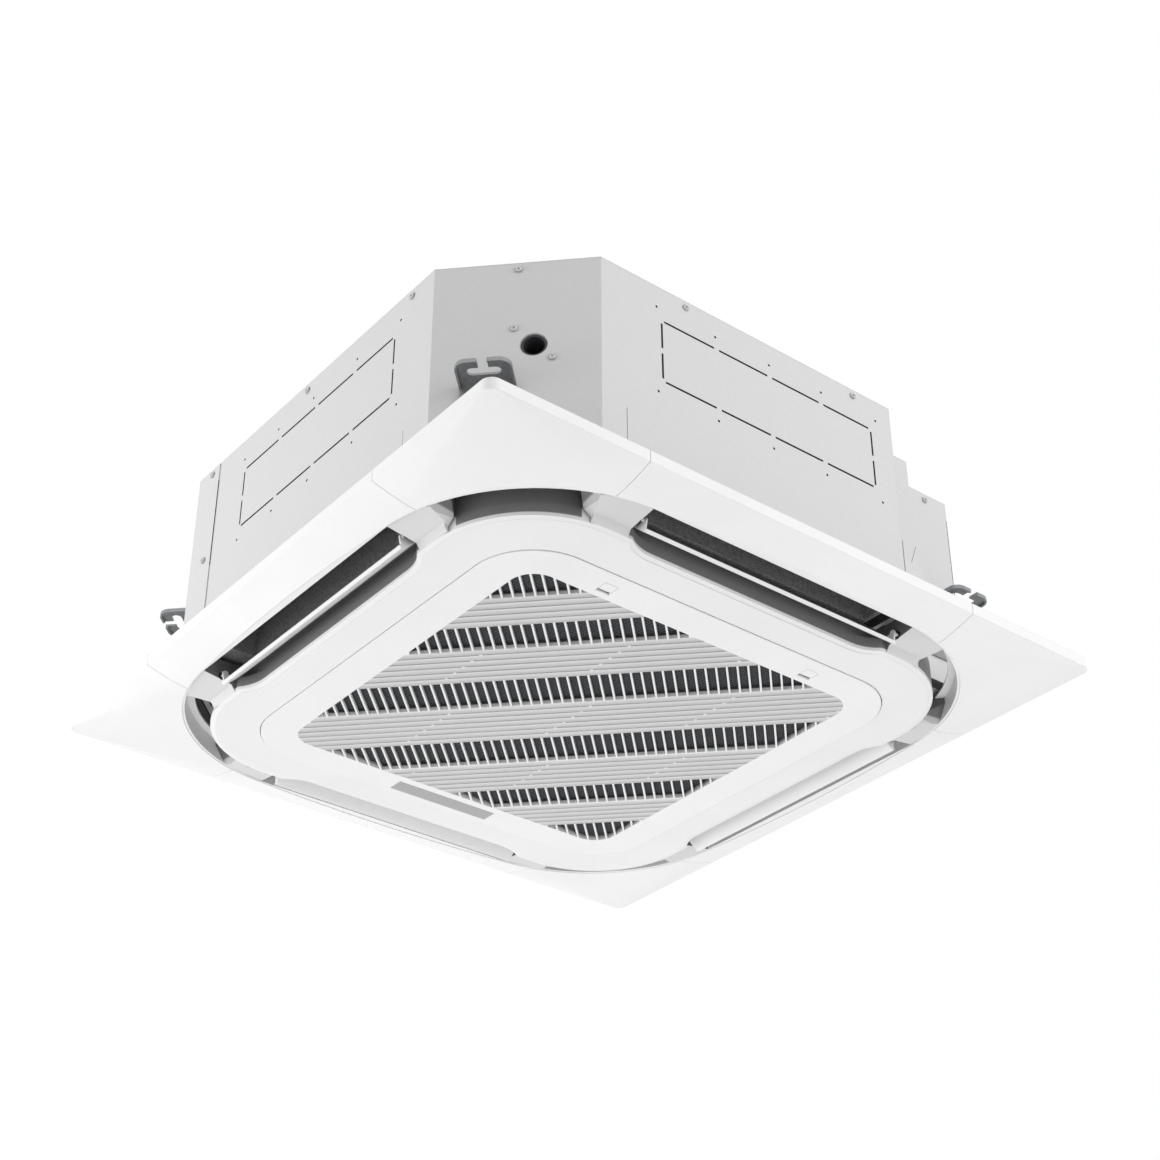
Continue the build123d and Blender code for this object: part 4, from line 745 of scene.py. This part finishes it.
def make_floor():
    """Pale plane well below the unit."""
    bpy.ops.mesh.primitive_plane_add(size=FLOOR_SIZE, location=(0, 0, FLOOR_HEIGHT))
    floor = bpy.context.object
    floor.name = "floor"
    floor.data.materials.append(background_material("floor_pale", (0.86, 0.86, 0.86)))


def make_world():
    """White behind everything and in reflections, and a plain fill light."""
    world = bpy.data.worlds.new("studio")
    bpy.context.scene.world = world
    world.use_nodes = True
    tree = world.node_tree
    tree.nodes.clear()
    output = tree.nodes.new("ShaderNodeOutputWorld")
    seen = tree.nodes.new("ShaderNodeBackground")
    seen.inputs["Color"].default_value = (1, 1, 1, 1)
    lit = tree.nodes.new("ShaderNodeBackground")
    lit.inputs["Color"].default_value = (1, 1, 1, 1)
    lit.inputs["Strength"].default_value = FILL_LIGHT
    path = tree.nodes.new("ShaderNodeLightPath")
    either = tree.nodes.new("ShaderNodeMath")
    either.operation = "MAXIMUM"
    tree.links.new(path.outputs["Is Camera Ray"], either.inputs[0])
    tree.links.new(path.outputs["Is Glossy Ray"], either.inputs[1])
    mix = tree.nodes.new("ShaderNodeMixShader")
    tree.links.new(either.outputs[0], mix.inputs[0])
    tree.links.new(lit.outputs[0], mix.inputs[1])
    tree.links.new(seen.outputs[0], mix.inputs[2])
    tree.links.new(mix.outputs[0], output.inputs["Surface"])


def make_lamp(name, place, target, size, power):
    """Square soft lamp that looks at a target."""
    data = bpy.data.lights.new(name, "AREA")
    data.shape = "SQUARE"
    data.size = size
    data.energy = power
    lamp = bpy.data.objects.new(name, data)
    bpy.context.collection.objects.link(lamp)
    lamp.location = place
    lamp.rotation_euler = (Vector(target) - Vector(place)).to_track_quat("-Z", "Y").to_euler()
    lamp.visible_camera = False
    lamp.visible_glossy = False


def make_lamps():
    """Soft boxes on the left, on the right and below."""
    make_lamp("left_softbox", (-3.08, 1.79, -0.53), (0, 0, 0.1), 2.2, 86)
    make_lamp("right_softbox", (0.90, -3.46, 0.46), (0, 0, 0.1), 2.2, 66)
    make_lamp("low_softbox", (0.46, 0.25, -1.88), (0, 0, 0), 2.6, 27)


def make_camera():
    """The photograph's view, from below and from the front left corner."""
    data = bpy.data.cameras.new("camera")
    data.sensor_width = CAMERA_SENSOR
    data.lens = CAMERA_LENS
    data.shift_x, data.shift_y = CAMERA_SHIFT
    data.clip_start = 0.05
    camera = bpy.data.objects.new("camera", data)
    bpy.context.collection.objects.link(camera)
    camera.rotation_mode = "QUATERNION"
    camera.location = CAMERA_PLACE
    camera.rotation_quaternion = CAMERA_TURN
    bpy.context.scene.camera = camera


bpy.context.scene.view_settings.view_transform = "Standard"
dress_nodes()
make_screws()
make_coil()
make_floor()
make_world()
make_lamps()
make_camera()
